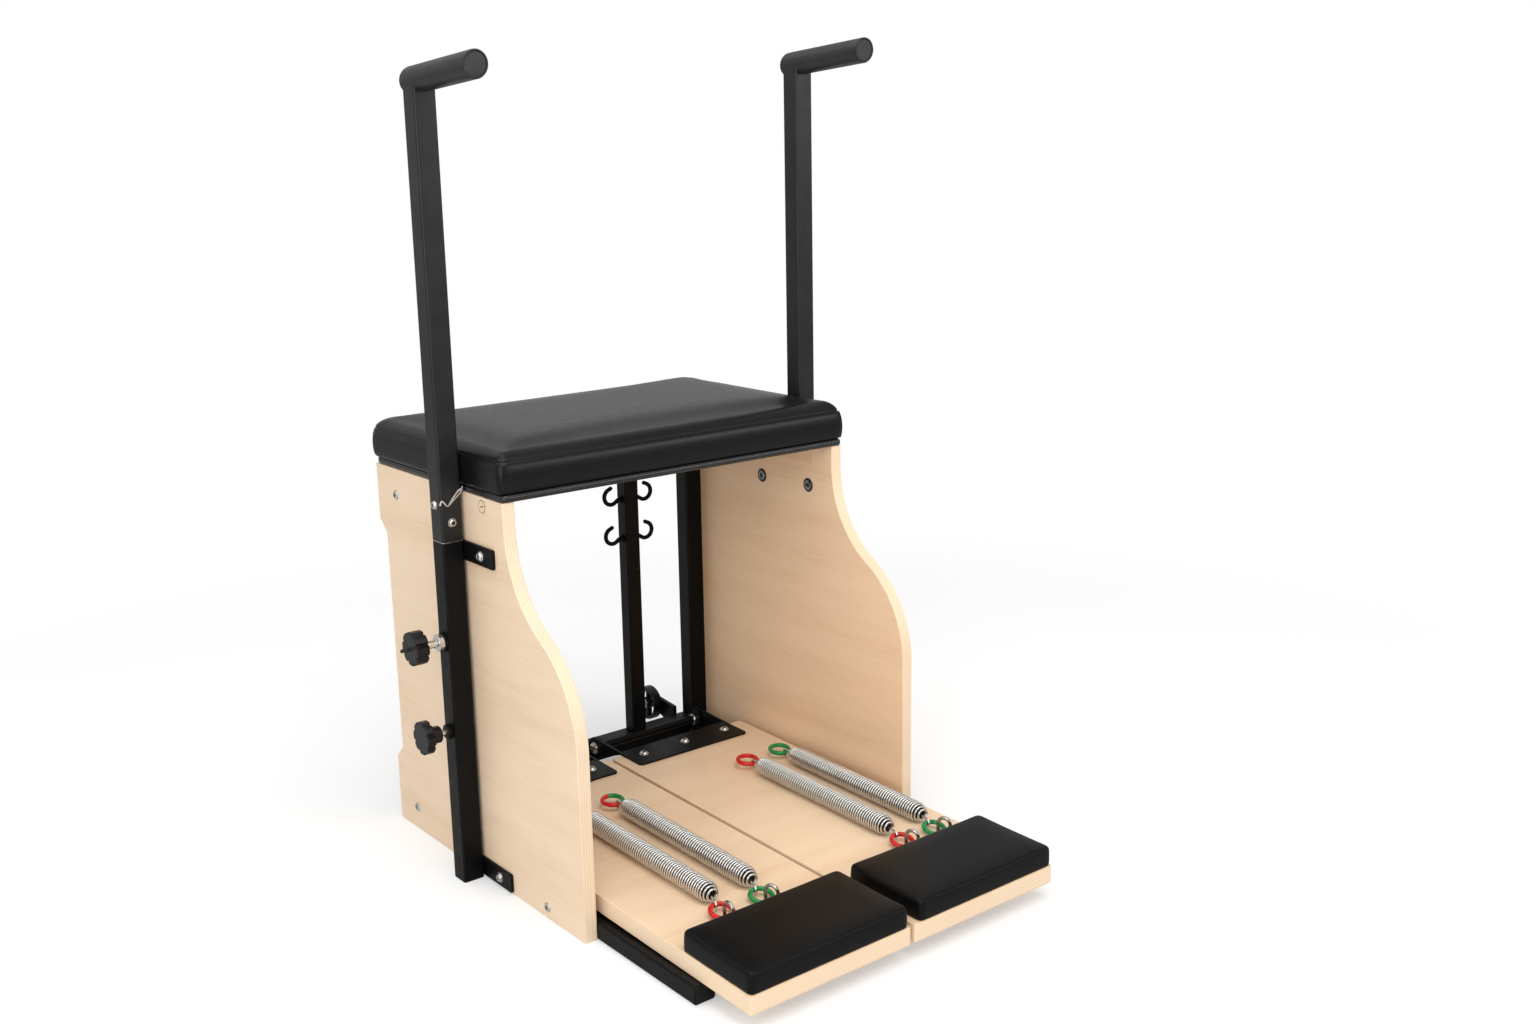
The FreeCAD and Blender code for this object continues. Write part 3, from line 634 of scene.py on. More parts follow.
@dataclass(frozen=True)
class Plywood:
    """Lacquered birch plywood: long grain on the faces and glued layers along the edges."""

    name: str = "birch_plywood"
    slot: str = "birch_plywood"
    through: Axis = Axis.X
    along: Axis = Axis.Y
    low: float = 0.262
    thickness: float = 0.018
    tilt: float = 0.0
    pale: Triple = (0.80, 0.62, 0.45)
    middle: Triple = (0.765, 0.583, 0.412)
    deep: Triple = (0.715, 0.53, 0.358)
    layer: float = 0.0019
    edge_tones: tuple[tuple[float, Triple], ...] = (
        (0.0, (0.60, 0.41, 0.25)), (0.05, (0.86, 0.70, 0.52)), (0.46, (0.86, 0.69, 0.50)),
        (0.51, (0.62, 0.43, 0.265)), (0.57, (0.76, 0.575, 0.395)), (0.95, (0.78, 0.595, 0.415)),
    )

    @lru_cache
    def material(self) -> bpy.types.Material:
        """Grain is noise drawn out along the fibre; layers are bands of the distance through the board.

        Returns:
            The material.
        """
        sheet = NodeSheet(bpy.data.materials.new(self.name))
        level = sheet.place(turn=(-self.tilt, 0.0, 0.0))
        axes = dict(zip(Axis, sheet.add("SeparateXYZ", {0: level}).outputs))
        across = next(a for a in Axis if a not in (self.through, self.along))
        depth = sheet.sums("SUBTRACT", sheet.sums("ABSOLUTE", axes[self.through]), self.low)
        ways = {0: axes[self.along], 1: axes[across], 2: axes[self.through]}
        fibre = sheet.add("CombineXYZ", ways).outputs[0]
        long_place = sheet.scaled(fibre, (1.5, 20.0, 20.0))
        long_grain = {"Vector": long_place, "Scale": 1.0, "Detail": 5.0, "Distortion": 0.15}
        figure = sheet.add("TexNoise", long_grain).outputs[0]
        fine = sheet.noise(sheet.scaled(fibre, (13.0, 270.0, 270.0)), 1.0, 3.0)
        fleck_noise = sheet.noise(sheet.scaled(fibre, (30.0, 400.0, 400.0)), 1.0, 1.0)
        fleck = sheet.ramp(fleck_noise, [(0.66, 0.0), (0.76, 1.0)])
        cloud = sheet.noise(fibre, 5.0, 2.0)
        tone = sheet.sums("ADD", sheet.sums("MULTIPLY", figure, 0.5), sheet.sums("MULTIPLY", fine, 0.32))
        tone = sheet.sums("ADD", tone, sheet.sums("MULTIPLY", cloud, 0.18))
        face = sheet.ramp(tone, [(0.36, self.deep), (0.47, self.middle), (0.60, self.pale)])
        face = sheet.mixed(sheet.sums("MULTIPLY", fleck, 0.2), face, (*self.deep, 1.0))
        band = sheet.sums("FRACT", sheet.sums("DIVIDE", depth, 2 * self.layer))
        layers = sheet.mixed(0.35, sheet.ramp(band, self.edge_tones), face)
        rim = sheet.sums("ABSOLUTE", sheet.sums("SUBTRACT", depth, self.thickness / 2))
        inside = sheet.ramp(sheet.sums("DIVIDE", rim, self.thickness / 2), [(0.86, 1.0), (0.90, 0.0)])
        relief = sheet.sums("SUBTRACT", sheet.sums("MULTIPLY", fine, 0.5), fleck)
        return sheet.finish({
            "Base Color": sheet.mixed(inside, face, layers),
            "Roughness": sheet.ramp(fine, [(0.3, 0.38), (0.7, 0.52)]),
            "Specular IOR Level": 0.4,
            "Coat Weight": 0.12,
            "Coat Roughness": 0.32,
            "Normal": sheet.bump(relief, 0.10, 0.0003),
        })


class Relief(Enum):
    """Relief of a dark skin: noises (scale, detail) of its tone and gloss, tone stops, detail and depth."""

    PEBBLE = ((22.0, 4.0), (60.0, 3.0), (0.35, 0.68), 2.0, 0.0002)
    PORES = ((30.0, 4.0), (45.0, 3.0), (0.3, 0.7), 1.5, 0.0002)
    STIPPLE = ((70.0, 4.0), (70.0, 4.0), (0.3, 0.7), 0.0, 0.0002)
    GRAIN = ((14.0, 3.0), (90.0, 3.0), (0.3, 0.7), 0.0, 0.0001)


@dataclass(frozen=True)
class Coating:
    """Dark skin of powder coat, foam, moulded plastic or vinyl."""

    name: str
    slot: str
    dark: Triple
    light: Triple
    rough: Pair
    gloss: float = 0.15
    relief: Relief = Relief.PORES
    fineness: float = 1900.0
    strength: float = 0.05

    @lru_cache
    def material(self) -> bpy.types.Material:
        """Broad noises shift tone and gloss; a fine pattern raises the relief.

        Returns:
            The material.
        """
        tone, shine, stops, detail, depth = self.relief.value
        sheet = NodeSheet(bpy.data.materials.new(self.name))
        place = sheet.place()
        height = self.pattern(sheet, place, detail)
        gloss_stops = list(zip((0.3, 0.7), self.rough))
        return sheet.finish({
            "Base Color": sheet.ramp(sheet.noise(place, *tone), list(zip(stops, (self.dark, self.light)))),
            "Roughness": sheet.ramp(sheet.noise(place, *shine), gloss_stops),
            "Specular IOR Level": self.gloss,
            "Normal": sheet.bump(height, self.strength, depth),
        })

    def pattern(self, sheet: NodeSheet, place: Socket, detail: float) -> Socket:
        """Fine noise, the round cells of a stipple, or a leather grain's cells with sunken borders.

        Args:
            sheet: node tree of the material.
            place: coordinates of the pattern.
            detail: detail of the noise.

        Returns:
            The height of the relief.
        """
        if self.relief is Relief.STIPPLE:
            cells = sheet.add("TexVoronoi", {"Vector": place, "Scale": self.fineness}, feature="SMOOTH_F1")
            return cells.outputs[0]
        if self.relief is Relief.GRAIN:
            warp = sheet.add("TexNoise", {"Vector": place, "Scale": 240.0, "Detail": 2.0}).outputs["Color"]
            uneven = {"Vector": sheet.mixed(0.0035, place, warp, "ADD"), "Scale": self.fineness}
            cells = sheet.add("TexVoronoi", uneven, feature="DISTANCE_TO_EDGE")
            return sheet.ramp(cells.outputs[0], [(0.02, 0.0), (0.22, 1.0)])
        return sheet.noise(place, self.fineness, detail)


@dataclass(frozen=True)
class PlatedSteel:
    """Nickel or zinc plated steel with faint draw marks."""

    name: str = "nickel_plate"
    slot: str = "bright_steel"
    dark: Triple = (0.50, 0.49, 0.475)
    light: Triple = (0.74, 0.725, 0.70)
    rough: Pair = (0.17, 0.32)
    relief: float = 0.03

    @lru_cache
    def material(self) -> bpy.types.Material:
        """Noise drawn out along Y makes the marks; broad noise dulls the plate in places.

        Returns:
            The material.
        """
        sheet = NodeSheet(bpy.data.materials.new(self.name))
        marks = sheet.noise(sheet.place((900.0, 160.0, 900.0)), 1.0, 2.0)
        broad = sheet.noise(sheet.place(), 120.0, 3.0)
        return sheet.finish({
            "Base Color": sheet.ramp(broad, [(0.28, self.dark), (0.6, self.light)]),
            "Metallic": 1.0,
            "Roughness": sheet.ramp(marks, list(zip((0.3, 0.7), self.rough))),
            "Normal": sheet.bump(marks, self.relief, 0.00005),
        })


@dataclass(frozen=True)
class DipCoat:
    """Glossy plastic dip on a steel ring; a second colour may cover the part left of a place."""

    name: str
    slot: str
    colour: Triple
    deep: Triple
    second: Triple | None = None
    change: float = 0.0
    waver: float = 0.006

    @lru_cache
    def material(self) -> bpy.types.Material:
        """Broad noise thins and thickens the dip; the second colour starts at a wavering line across X.

        Returns:
            The material.
        """
        sheet = NodeSheet(bpy.data.materials.new(self.name))
        place = sheet.place()
        uneven = sheet.noise(place, 160.0, 3.0)
        colour = sheet.ramp(uneven, [(0.3, self.deep), (0.62, self.colour)])
        if self.second:
            x = sheet.add("SeparateXYZ", {0: place}).outputs[0]
            wave = sheet.sums("MULTIPLY", sheet.sums("SUBTRACT", uneven, 0.5), self.waver)
            reach = sheet.sums("SUBTRACT", sheet.sums("ADD", x, wave), self.change)
            past = sheet.sums("ADD", sheet.sums("DIVIDE", reach, self.waver), 0.5)
            share = sheet.ramp(past, [(0.3, 1.0), (0.7, 0.0)])
            colour = sheet.mixed(share, colour, (*self.second, 1.0))
        return sheet.finish({
            "Base Color": colour,
            "Roughness": sheet.ramp(uneven, [(0.3, 0.16), (0.7, 0.27)]),
            "Specular IOR Level": 0.25,
            "Coat Weight": 0.2,
            "Coat Roughness": 0.12,
            "Normal": sheet.bump(uneven, 0.22, 0.0006),
        })


PANEL_PLY = Plywood()
# Brighter, warmer copy of the same panel plywood: painted light and bounce on the shaded inner face of the
# right panel.
RIGHT_PLY_PAINTED_LIGHT = Plywood(
    "right_birch_plywood", pale=(0.93, 0.675, 0.445), middle=(0.89, 0.63, 0.405), deep=(0.84, 0.575, 0.35)
)
# Darker copy of the panel plywood for the seat angles: painted shade, so that their lit front ends match the
# shaded panel beside them.
ANGLE_PLY_PAINTED_SHADE = Plywood(
    "angle_plywood_painted_shade", pale=(0.82, 0.59, 0.39), middle=(0.785, 0.555, 0.355), deep=(0.735, 0.505, 0.31)
)
PAD_FOAM = Coating(
    "pad_foam_skin", "pad_foam", (0.0026, 0.0026, 0.0027), (0.0036, 0.0036, 0.0037), (0.36, 0.40), 0.13
)
SEAT_VINYL = Coating(
    "seat_vinyl", "seat_vinyl", PAD_FOAM.dark, PAD_FOAM.light, (0.27, 0.31), 0.24, Relief.GRAIN, 720.0
)
SEAT_THREAD = Coating("seat_thread", "seat_vinyl", (0.004, 0.004, 0.004), (0.007, 0.007, 0.007), (0.55, 0.7))
# Dark brown for the ring and bar of painted shade round the panel plug and in its slot.
PLUG_GAP_SHADE = Coating("plug_gap", "birch_plywood", (0.15, 0.095, 0.055), (0.22, 0.14, 0.085), (0.6, 0.75))
# Near-black for the bar inside each coil: painted shade seen through the gaps between the turns.
SPRING_SHADE = Coating(
    "spring_core", "spring_steel", (0.003, 0.003, 0.003), (0.006, 0.006, 0.006), (0.7, 0.85)
)
BLACK_BOARD = Coating(
    "black_seat_board", "black_board", (0.006, 0.006, 0.006), (0.010, 0.010, 0.010), (0.22, 0.30), 0.55,
    strength=0.01,
)
GRIP_FOAM = Coating(
    "grip_foam", "grip_foam", (0.014, 0.014, 0.0145), (0.021, 0.021, 0.0215), (0.36, 0.44), 0.36,
    fineness=1300.0, strength=0.1,
)
BLACK_COAT = Coating(
    "black_powder_coat", "black_frame", (0.0022, 0.0022, 0.0023), (0.0036, 0.0036, 0.0037), (0.36, 0.46),
    0.14, Relief.PEBBLE, 1500.0, 0.16,
)
# Lighter, glossier copy of the frame's black powder coat: painted light for the brighter look of the upper
# posts.
POST_COAT_PAINTED_LIGHT = replace(
    BLACK_COAT, name="post_powder_coat", dark=(0.009, 0.009, 0.0093), light=(0.013, 0.013, 0.0134),
    rough=(0.30, 0.38), gloss=0.34,
)
KNOB_PLASTIC = Coating(
    "moulded_plastic", "knob_plastic", (0.003, 0.003, 0.0032), (0.005, 0.005, 0.0053), (0.27, 0.36), 0.3,
    Relief.STIPPLE, 1100.0, 0.14,
)
# Lighter grey copy of the knob plastic: painted reflection on the knobs' flat faces and on the pull pin's
# stud.
KNOB_FACE_PAINTED_REFLECTION = replace(
    KNOB_PLASTIC, name="knob_face_painted_reflection", dark=(0.012, 0.013, 0.013), light=(0.018, 0.019, 0.019),
    rough=(0.42, 0.52),
)
GRIP_DISC = replace(
    KNOB_PLASTIC, name="grip_end_disc", slot="grip_foam", dark=(0.028, 0.028, 0.029),
    light=(0.042, 0.042, 0.043), rough=(0.42, 0.55),
)
WHEEL_PLASTIC = replace(KNOB_PLASTIC, name="wheel_plastic", slot="wheel_plastic", fineness=800.0)
NICKEL = PlatedSteel()
SPRING_NICKEL = PlatedSteel(
    "spring_nickel", "spring_steel", (0.64, 0.625, 0.60), (0.69, 0.675, 0.65), (0.30, 0.34), 0.004
)
STAPLE_STEEL = PlatedSteel(
    "staple_plate", "bright_steel", (0.24, 0.225, 0.205), (0.42, 0.40, 0.37), (0.2, 0.3), 0.01
)
ZINC_TUBE = PlatedSteel("zinc_tube", "black_frame", (0.42, 0.42, 0.42), (0.62, 0.62, 0.61), (0.28, 0.42))
# Dark steel: the dark rims of the panel inserts, and painted shade on the plates at the bottom of the bolt
# sockets.
DARK_STEEL_AND_SOCKET_SHADE = PlatedSteel("oiled_steel", "bright_steel", (0.03, 0.03, 0.03), (0.07, 0.07, 0.068), (0.35, 0.5))
RED_DIP = DipCoat("red_dip_coat", "red_coat", (0.62, 0.014, 0.012), (0.40, 0.008, 0.008))
GREEN_DIP = DipCoat("green_dip_coat", "green_coat", (0.012, 0.26, 0.062), (0.006, 0.15, 0.035))
TWO_TONE_DIP = replace(
    GREEN_DIP, name="two_tone_dip_coat", second=RED_DIP.colour,
    change=SpringPlace.LEFT_GREEN.value[0] * MILLIMETRE,
)


# Pieces

def put(name: str, data: Any) -> bpy.types.Object:
    """New object of that name in the scene."""
    thing = bpy.data.objects.new(name, data)
    bpy.context.scene.collection.objects.link(thing)
    return thing


def closed_mesh(name: str, shell: Shell) -> bpy.types.Mesh:
    """Mesh of a shell in the shared frame, its faces turned outward.

    Args:
        name: name of the mesh.
        shell: its surface.

    Returns:
        The mesh.
    """
    mesh = bpy.data.meshes.new(name)
    mesh.from_pydata(to_frame(shell.points).tolist(), [], shell.quads.tolist() + shell.caps)
    work = bmesh.new()
    work.from_mesh(mesh)
    bmesh.ops.recalc_face_normals(work, faces=work.faces)
    work.to_mesh(mesh)
    work.free()
    return mesh


def make_piece(
    name: str,
    shell: Shell,
    finish: Finish,
    body: str = "frame",
    replaces: Sequence[str] = (),
    crease: float = 32.0,
    weighted: bool = True,
) -> bpy.types.Object:
    """Puts a shell into the scene as a finished piece.

    Args:
        name: name of the piece.
        shell: its surface.
        finish: finish that dresses it.
        body: body that it moves with.
        replaces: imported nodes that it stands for.
        crease: angle in degrees past which an edge stays sharp.
        weighted: whether large faces set the shading at their rims.

    Returns:
        The piece's object.
    """
    mesh = closed_mesh(name, shell)
    mesh.shade_smooth()
    mesh.set_sharp_from_angle(angle=math.radians(crease))
    mesh.materials.append(finish.material())
    piece = put(name, mesh)
    if weighted:
        piece.modifiers.new("even shading", "WEIGHTED_NORMAL").keep_sharp = True
    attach(piece, body)
    if replaces:
        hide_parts(*replaces)
    log.info("%s on %s, %d faces", name, body, len(mesh.polygons))
    return piece


def dress(node: str, shell: Shell, finish: Finish, body: str = "frame", *shading: Any) -> None:
    """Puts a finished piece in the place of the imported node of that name."""
    make_piece(f"{node}_dressed", shell, finish, body, [node], *shading)


def make_cover(node: str, shell: Shell, finish: Finish, body: str) -> None:
    """Puts a padded cover in the place of a packed cushion or pad, smoothed once.

    Args:
        node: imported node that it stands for.
        shell: the swollen cover.
        finish: finish that dresses it.
        body: body that it moves with.
    """
    piece = make_piece(f"{node}_cover", shell, finish, body, [node], NO_CREASE, False)
    smooth = piece.modifiers.new("smooth", "SUBSURF")
    smooth.levels = smooth.render_levels = 1


def finish_node(node: str, finish: Finish) -> None:
    """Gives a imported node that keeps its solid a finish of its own."""
    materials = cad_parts[node].data.materials
    materials.clear()
    materials.append(finish.material())


def add_bolts(
    name: str,
    bolt: SocketBolt,
    seats: Sequence[Sequence[float]],
    axis: Axis,
    way: float,
    body: str,
    change: Callable[[Shell], Shell],
    finish: Finish = NICKEL,
) -> None:
    """Adds bolts on several seats, with the dark floors of their sockets, painted shade, as a second piece.

    Args:
        name: name of the piece.
        bolt: kind of bolt.
        seats: middles of the bolts on the surfaces that they seat on.
        axis: direction of the bolts.
        way: plus or minus one, the way the heads point.
        body: body that they move with.
        change: what turns a shell into its final place.
        finish: finish of the bolts.
    """
    heads = join([bolt.shell(seat, axis, way) for seat in seats])
    socket_shades = join([bolt.floor(seat, axis, way) for seat in seats])
    make_piece(name, change(heads), finish, body)
    # The socket floors are painted shade.
    make_piece(f"{name}_sockets", change(socket_shades), DARK_STEEL_AND_SOCKET_SHADE, body)


# Sub-assemblies

@dataclass(frozen=True)
class Carcass:
    """Plywood side panels with their bolts and plugs, and the angles under the seat."""

    step: float = 150.0
    sweep: float = 60.0
    sweep_height: float = 376.0
    recess: float = 19.0
    recess_low: float = 98.0
    recess_high: float = 456.0
    recess_slope: float = 18.0
    edge: float = 1.1
    flush: SocketBolt = SocketBolt(head_height=2.2, socket_depth=1.6, washer_radius=6.8, washer=0.5)
    outer_bolts: Profile = ((446.0, 499.0), (447.0, 34.0), (88.0, 16.0))
    insert: SocketBolt = SocketBolt(
        head_radius=7.2, head_height=0.9, socket=4.0, socket_depth=1.1, washer_radius=7.6, washer=1.0
    )
    inner_bolts: Profile = ((312.0, 469.0), (203.0, 471.0))
    rim: Profile = ((0.3, 10.4), (-0.4, 10.4), (-0.8, 10.0), (-0.9, 8.6))
    plug: Pair = (201.0, 524.0)
    plug_radius: float = 8.0
    plug_levels: tuple[float, ...] = (-0.3, 0.25, 0.55, 0.6, 0.6, 0.6, 0.6, 0.6, 0.6)
    plug_shares: tuple[float, ...] = (1.0, 1.0, 0.94, 0.86, 0.72, 0.55, 0.38, 0.2, 0.08)
    slot_way: Pair = (-0.94, 0.34)
    slot_depth: float = 0.55
    gap_shade_wires: Pair = (0.5, 0.65)
    gap_shade_levels: Pair = (0.15, 0.35)

    def outline(self, depth: float, height: float) -> Array:
        """Panel's outline: a straight foot, a recessed rear and two equal arcs that sweep the front back.

        Args:
            depth: depth of the panel's foot.
            height: height of the panel.

        Returns:
            Closed outline in Y and Z.
        """
        turn = math.radians(self.sweep)
        radius = self.step / (2 * (1 - math.cos(turn)))
        rise = radius * math.sin(turn)
        hollow = depth - self.recess
        foot = [(0.0, 0.0), (depth, 0.0), (depth, self.recess_low)]
        rear = [(hollow, self.recess_low + self.recess_slope), (hollow, self.recess_high - self.recess_slope)]
        top = [(depth, self.recess_high), (depth, height), (self.step, height)]
        upper = arc((self.step - radius, self.sweep_height + rise), radius, 0.0, -self.sweep, 26)
        lower = arc((radius, self.sweep_height - rise), radius, 180.0 - self.sweep, 180.0, 26)
        return np.concatenate([np.array(foot + rear + top), upper, lower[1:]])

    def build(self) -> None:
        """Makes both panels with their fasteners and dresses the angles."""
        low, high = extent("side_panel_right")
        panel = plate(self.outline(high[1], high[2]), low[0], high[0], self.edge, Axis.X)
        outer = [(high[0], y, z) for y, z in self.outer_bolts]
        inner = [(low[0], y, z) for y, z in self.inner_bolts]
        rims = [turned([(low[0] + d, r) for d, r in self.rim], centre, Axis.X) for centre in self.inner_bolts]
        for side in Side:
            word = side.word
            # The right panel takes the brighter plywood copy as painted light on its shaded inner face.
            ply = RIGHT_PLY_PAINTED_LIGHT if side is Side.RIGHT else PANEL_PLY

            def sided(shell: Shell) -> Shell:
                """A piece of the right panel on this side."""
                return shell.mirrored(side)

            dress(f"side_panel_{word}", sided(panel), ply)
            add_bolts(f"panel_bolts_{word}", self.flush, outer, Axis.X, 1.0, "frame", sided)
            add_bolts(f"panel_inserts_{word}", self.insert, inner, Axis.X, -1.0, "frame", sided, STAPLE_STEEL)
            make_piece(f"panel_insert_rims_{word}", sided(join(rims)), DARK_STEEL_AND_SOCKET_SHADE)
            make_piece(f"panel_plug_{word}", sided(self.plug_shell(high[0])), ply)
            # Ring and bar of painted shade round the plug and in its slot.
            make_piece(f"panel_plug_gap_{word}", sided(self.plug_gap(high[0])), PLUG_GAP_SHADE)
            # The seat angles take the darker plywood copy as painted shade.
            finish_node(f"seat_angle_{word}", ANGLE_PLY_PAINTED_SHADE)

    def plug_gap(self, face: float) -> Shell:
        """Painted shade in the gap round the plug and in its slot: a thin dark ring and a thin dark bar, sunk
        half into the wood.

        Args:
            face: X of the panel's outer face.

        Returns:
            The ring and the bar.
        """
        ring = arc(self.plug, self.plug_radius + 0.2, 0.0, 352.5, 47)
        span = self.plug_radius * np.linspace(-0.5, 0.5, 9)[:, None]
        bar = np.array(self.plug) + span * np.array(self.slot_way)
        pieces = []
        for path, level, radius, closed in zip((ring, bar), self.gap_shade_levels, self.gap_shade_wires, (True, False)):
            line = stand(path[:, 0], path[:, 1], face + level, Axis.X)
            pieces.append(wire(line, radius, X_WAY, 8, closed))
        return join(pieces)

    def plug_shell(self, face: float) -> Shell:
        """Wooden cover plug with a turning slot: a low disc, dished along a line across its middle.

        Args:
            face: X of the panel's outer face.

        Returns:
            The plug.
        """
        a = angles(48)
        share = np.array(self.plug_shares)[:, None]
        radius = self.plug_radius * np.repeat(share, len(a), axis=1)
        off_line = radius * np.abs(self.slot_way[1] * np.cos(a) - self.slot_way[0] * np.sin(a))
        slot = self.slot_depth * np.exp(-(off_line**4)) * (share < 0.8)
        return spun(face + np.array(self.plug_levels)[:, None] - slot, radius, self.plug, Axis.X)


@dataclass(frozen=True)
class RoundedPlan:
    """Rectangle with round corners, given by its sides, whose points suit a patch of rows and columns."""

    low: Pair
    high: Pair
    radii: tuple[float, ...]
    columns: int
    rows: int

    @property
    def across(self) -> int:
        """Number of points of an outline."""
        return 2 * (self.columns + self.rows)

    def loop(self, inset: float) -> Array:
        """Outline moved inward: each side runs evenly from the middle of one corner arc to the next.

        Args:
            inset: distance by which the sides move inward.

        Returns:
            Closed outline from the front left corner, turning by the front right one.
        """
        low = np.array(self.low) + inset
        high = np.array(self.high) - inset
        corners = np.array([low, [high[0], low[1]], high, [low[0], high[1]]])
        ways = np.array([[1.0, 0.0], [0.0, 1.0], [-1.0, 0.0], [0.0, -1.0]])
        radii = np.maximum(np.array(self.radii) - inset / 4, 1.5)
        centres = corners + np.array([[1, 1], [-1, 1], [-1, -1], [1, -1]]) * radii[:, None]
        sides = []
        for turn, count in enumerate((self.columns, self.rows, self.columns, self.rows)):
            other = (turn + 1) % 4
            first, last = radii[turn], radii[other]
            straight = np.linalg.norm(corners[other] - corners[turn]) - first - last
            lead, tail = first * np.pi / 4, last * np.pi / 4
            s = np.linspace(0, lead + straight + tail, count, endpoint=False)
            base = turn * np.pi / 2 - np.pi / 2
            a0 = base - np.pi / 4 + s / first
            a1 = base + (s - lead - straight) / last
            on_first = centres[turn] + first * np.stack([np.cos(a0), np.sin(a0)], axis=-1)
            on_last = centres[other] + last * np.stack([np.cos(a1), np.sin(a1)], axis=-1)
            on_line = corners[turn] + ways[turn] * first + (s - lead)[:, None] * ways[turn]
            later = np.where((s < lead + straight)[:, None], on_line, on_last)
            sides.append(np.where((s < lead)[:, None], on_first, later))
        return np.concatenate(sides)

    def sides(self, loop: Array) -> tuple[Array, Array, Array, Array]:
        """Front, right, rear and left side of an outline, each run in the way of its X or Y.

        Args:
            loop: outline as the loop method gives it, or the numbers of its points.

        Returns:
            The four sides with both their corners.
        """
        n, m = self.columns, self.rows
        closed = np.concatenate([loop, loop[:1]])
        rear, left = closed[n + m : 2 * n + m + 1][::-1], closed[2 * n + m :][::-1]
        return closed[: n + 1], closed[n : n + m + 1], rear, left

    def patch(self, loop: Array) -> Array:
        """Points inside an outline: opposite sides blended both ways, less the blend of the four corners.

        Args:
            loop: outline as the loop method gives it.

        Returns:
            Points as (rows + 1, columns + 1, 2), with the outline as their border.
        """
        front, right, rear, left = self.sides(loop)
        u = np.linspace(0, 1, self.columns + 1)[None, :, None]
        v = np.linspace(0, 1, self.rows + 1)[:, None, None]
        sides = (1 - v) * front[None] + v * rear[None] + (1 - u) * left[:, None] + u * right[:, None]
        ends = (1 - v) * ((1 - u) * front[0] + u * front[-1]) + v * ((1 - u) * rear[0] + u * rear[-1])
        return sides - ends

    def border(self, loop_index: Array, first_inner: int) -> Array:
        """Point numbers of a patch whose border is a given loop.

        Args:
            loop_index: numbers of the loop's points.
            first_inner: number of the first point inside.

        Returns:
            Numbers as (rows + 1, columns + 1).
        """
        n, m = self.columns, self.rows
        index = np.zeros((m + 1, n + 1), dtype=int)
        index[1:-1, 1:-1] = first_inner + np.arange((m - 1) * (n - 1)).reshape(m - 1, n - 1)
        index[0], index[:, n], index[m], index[:, 0] = self.sides(loop_index)
        return index


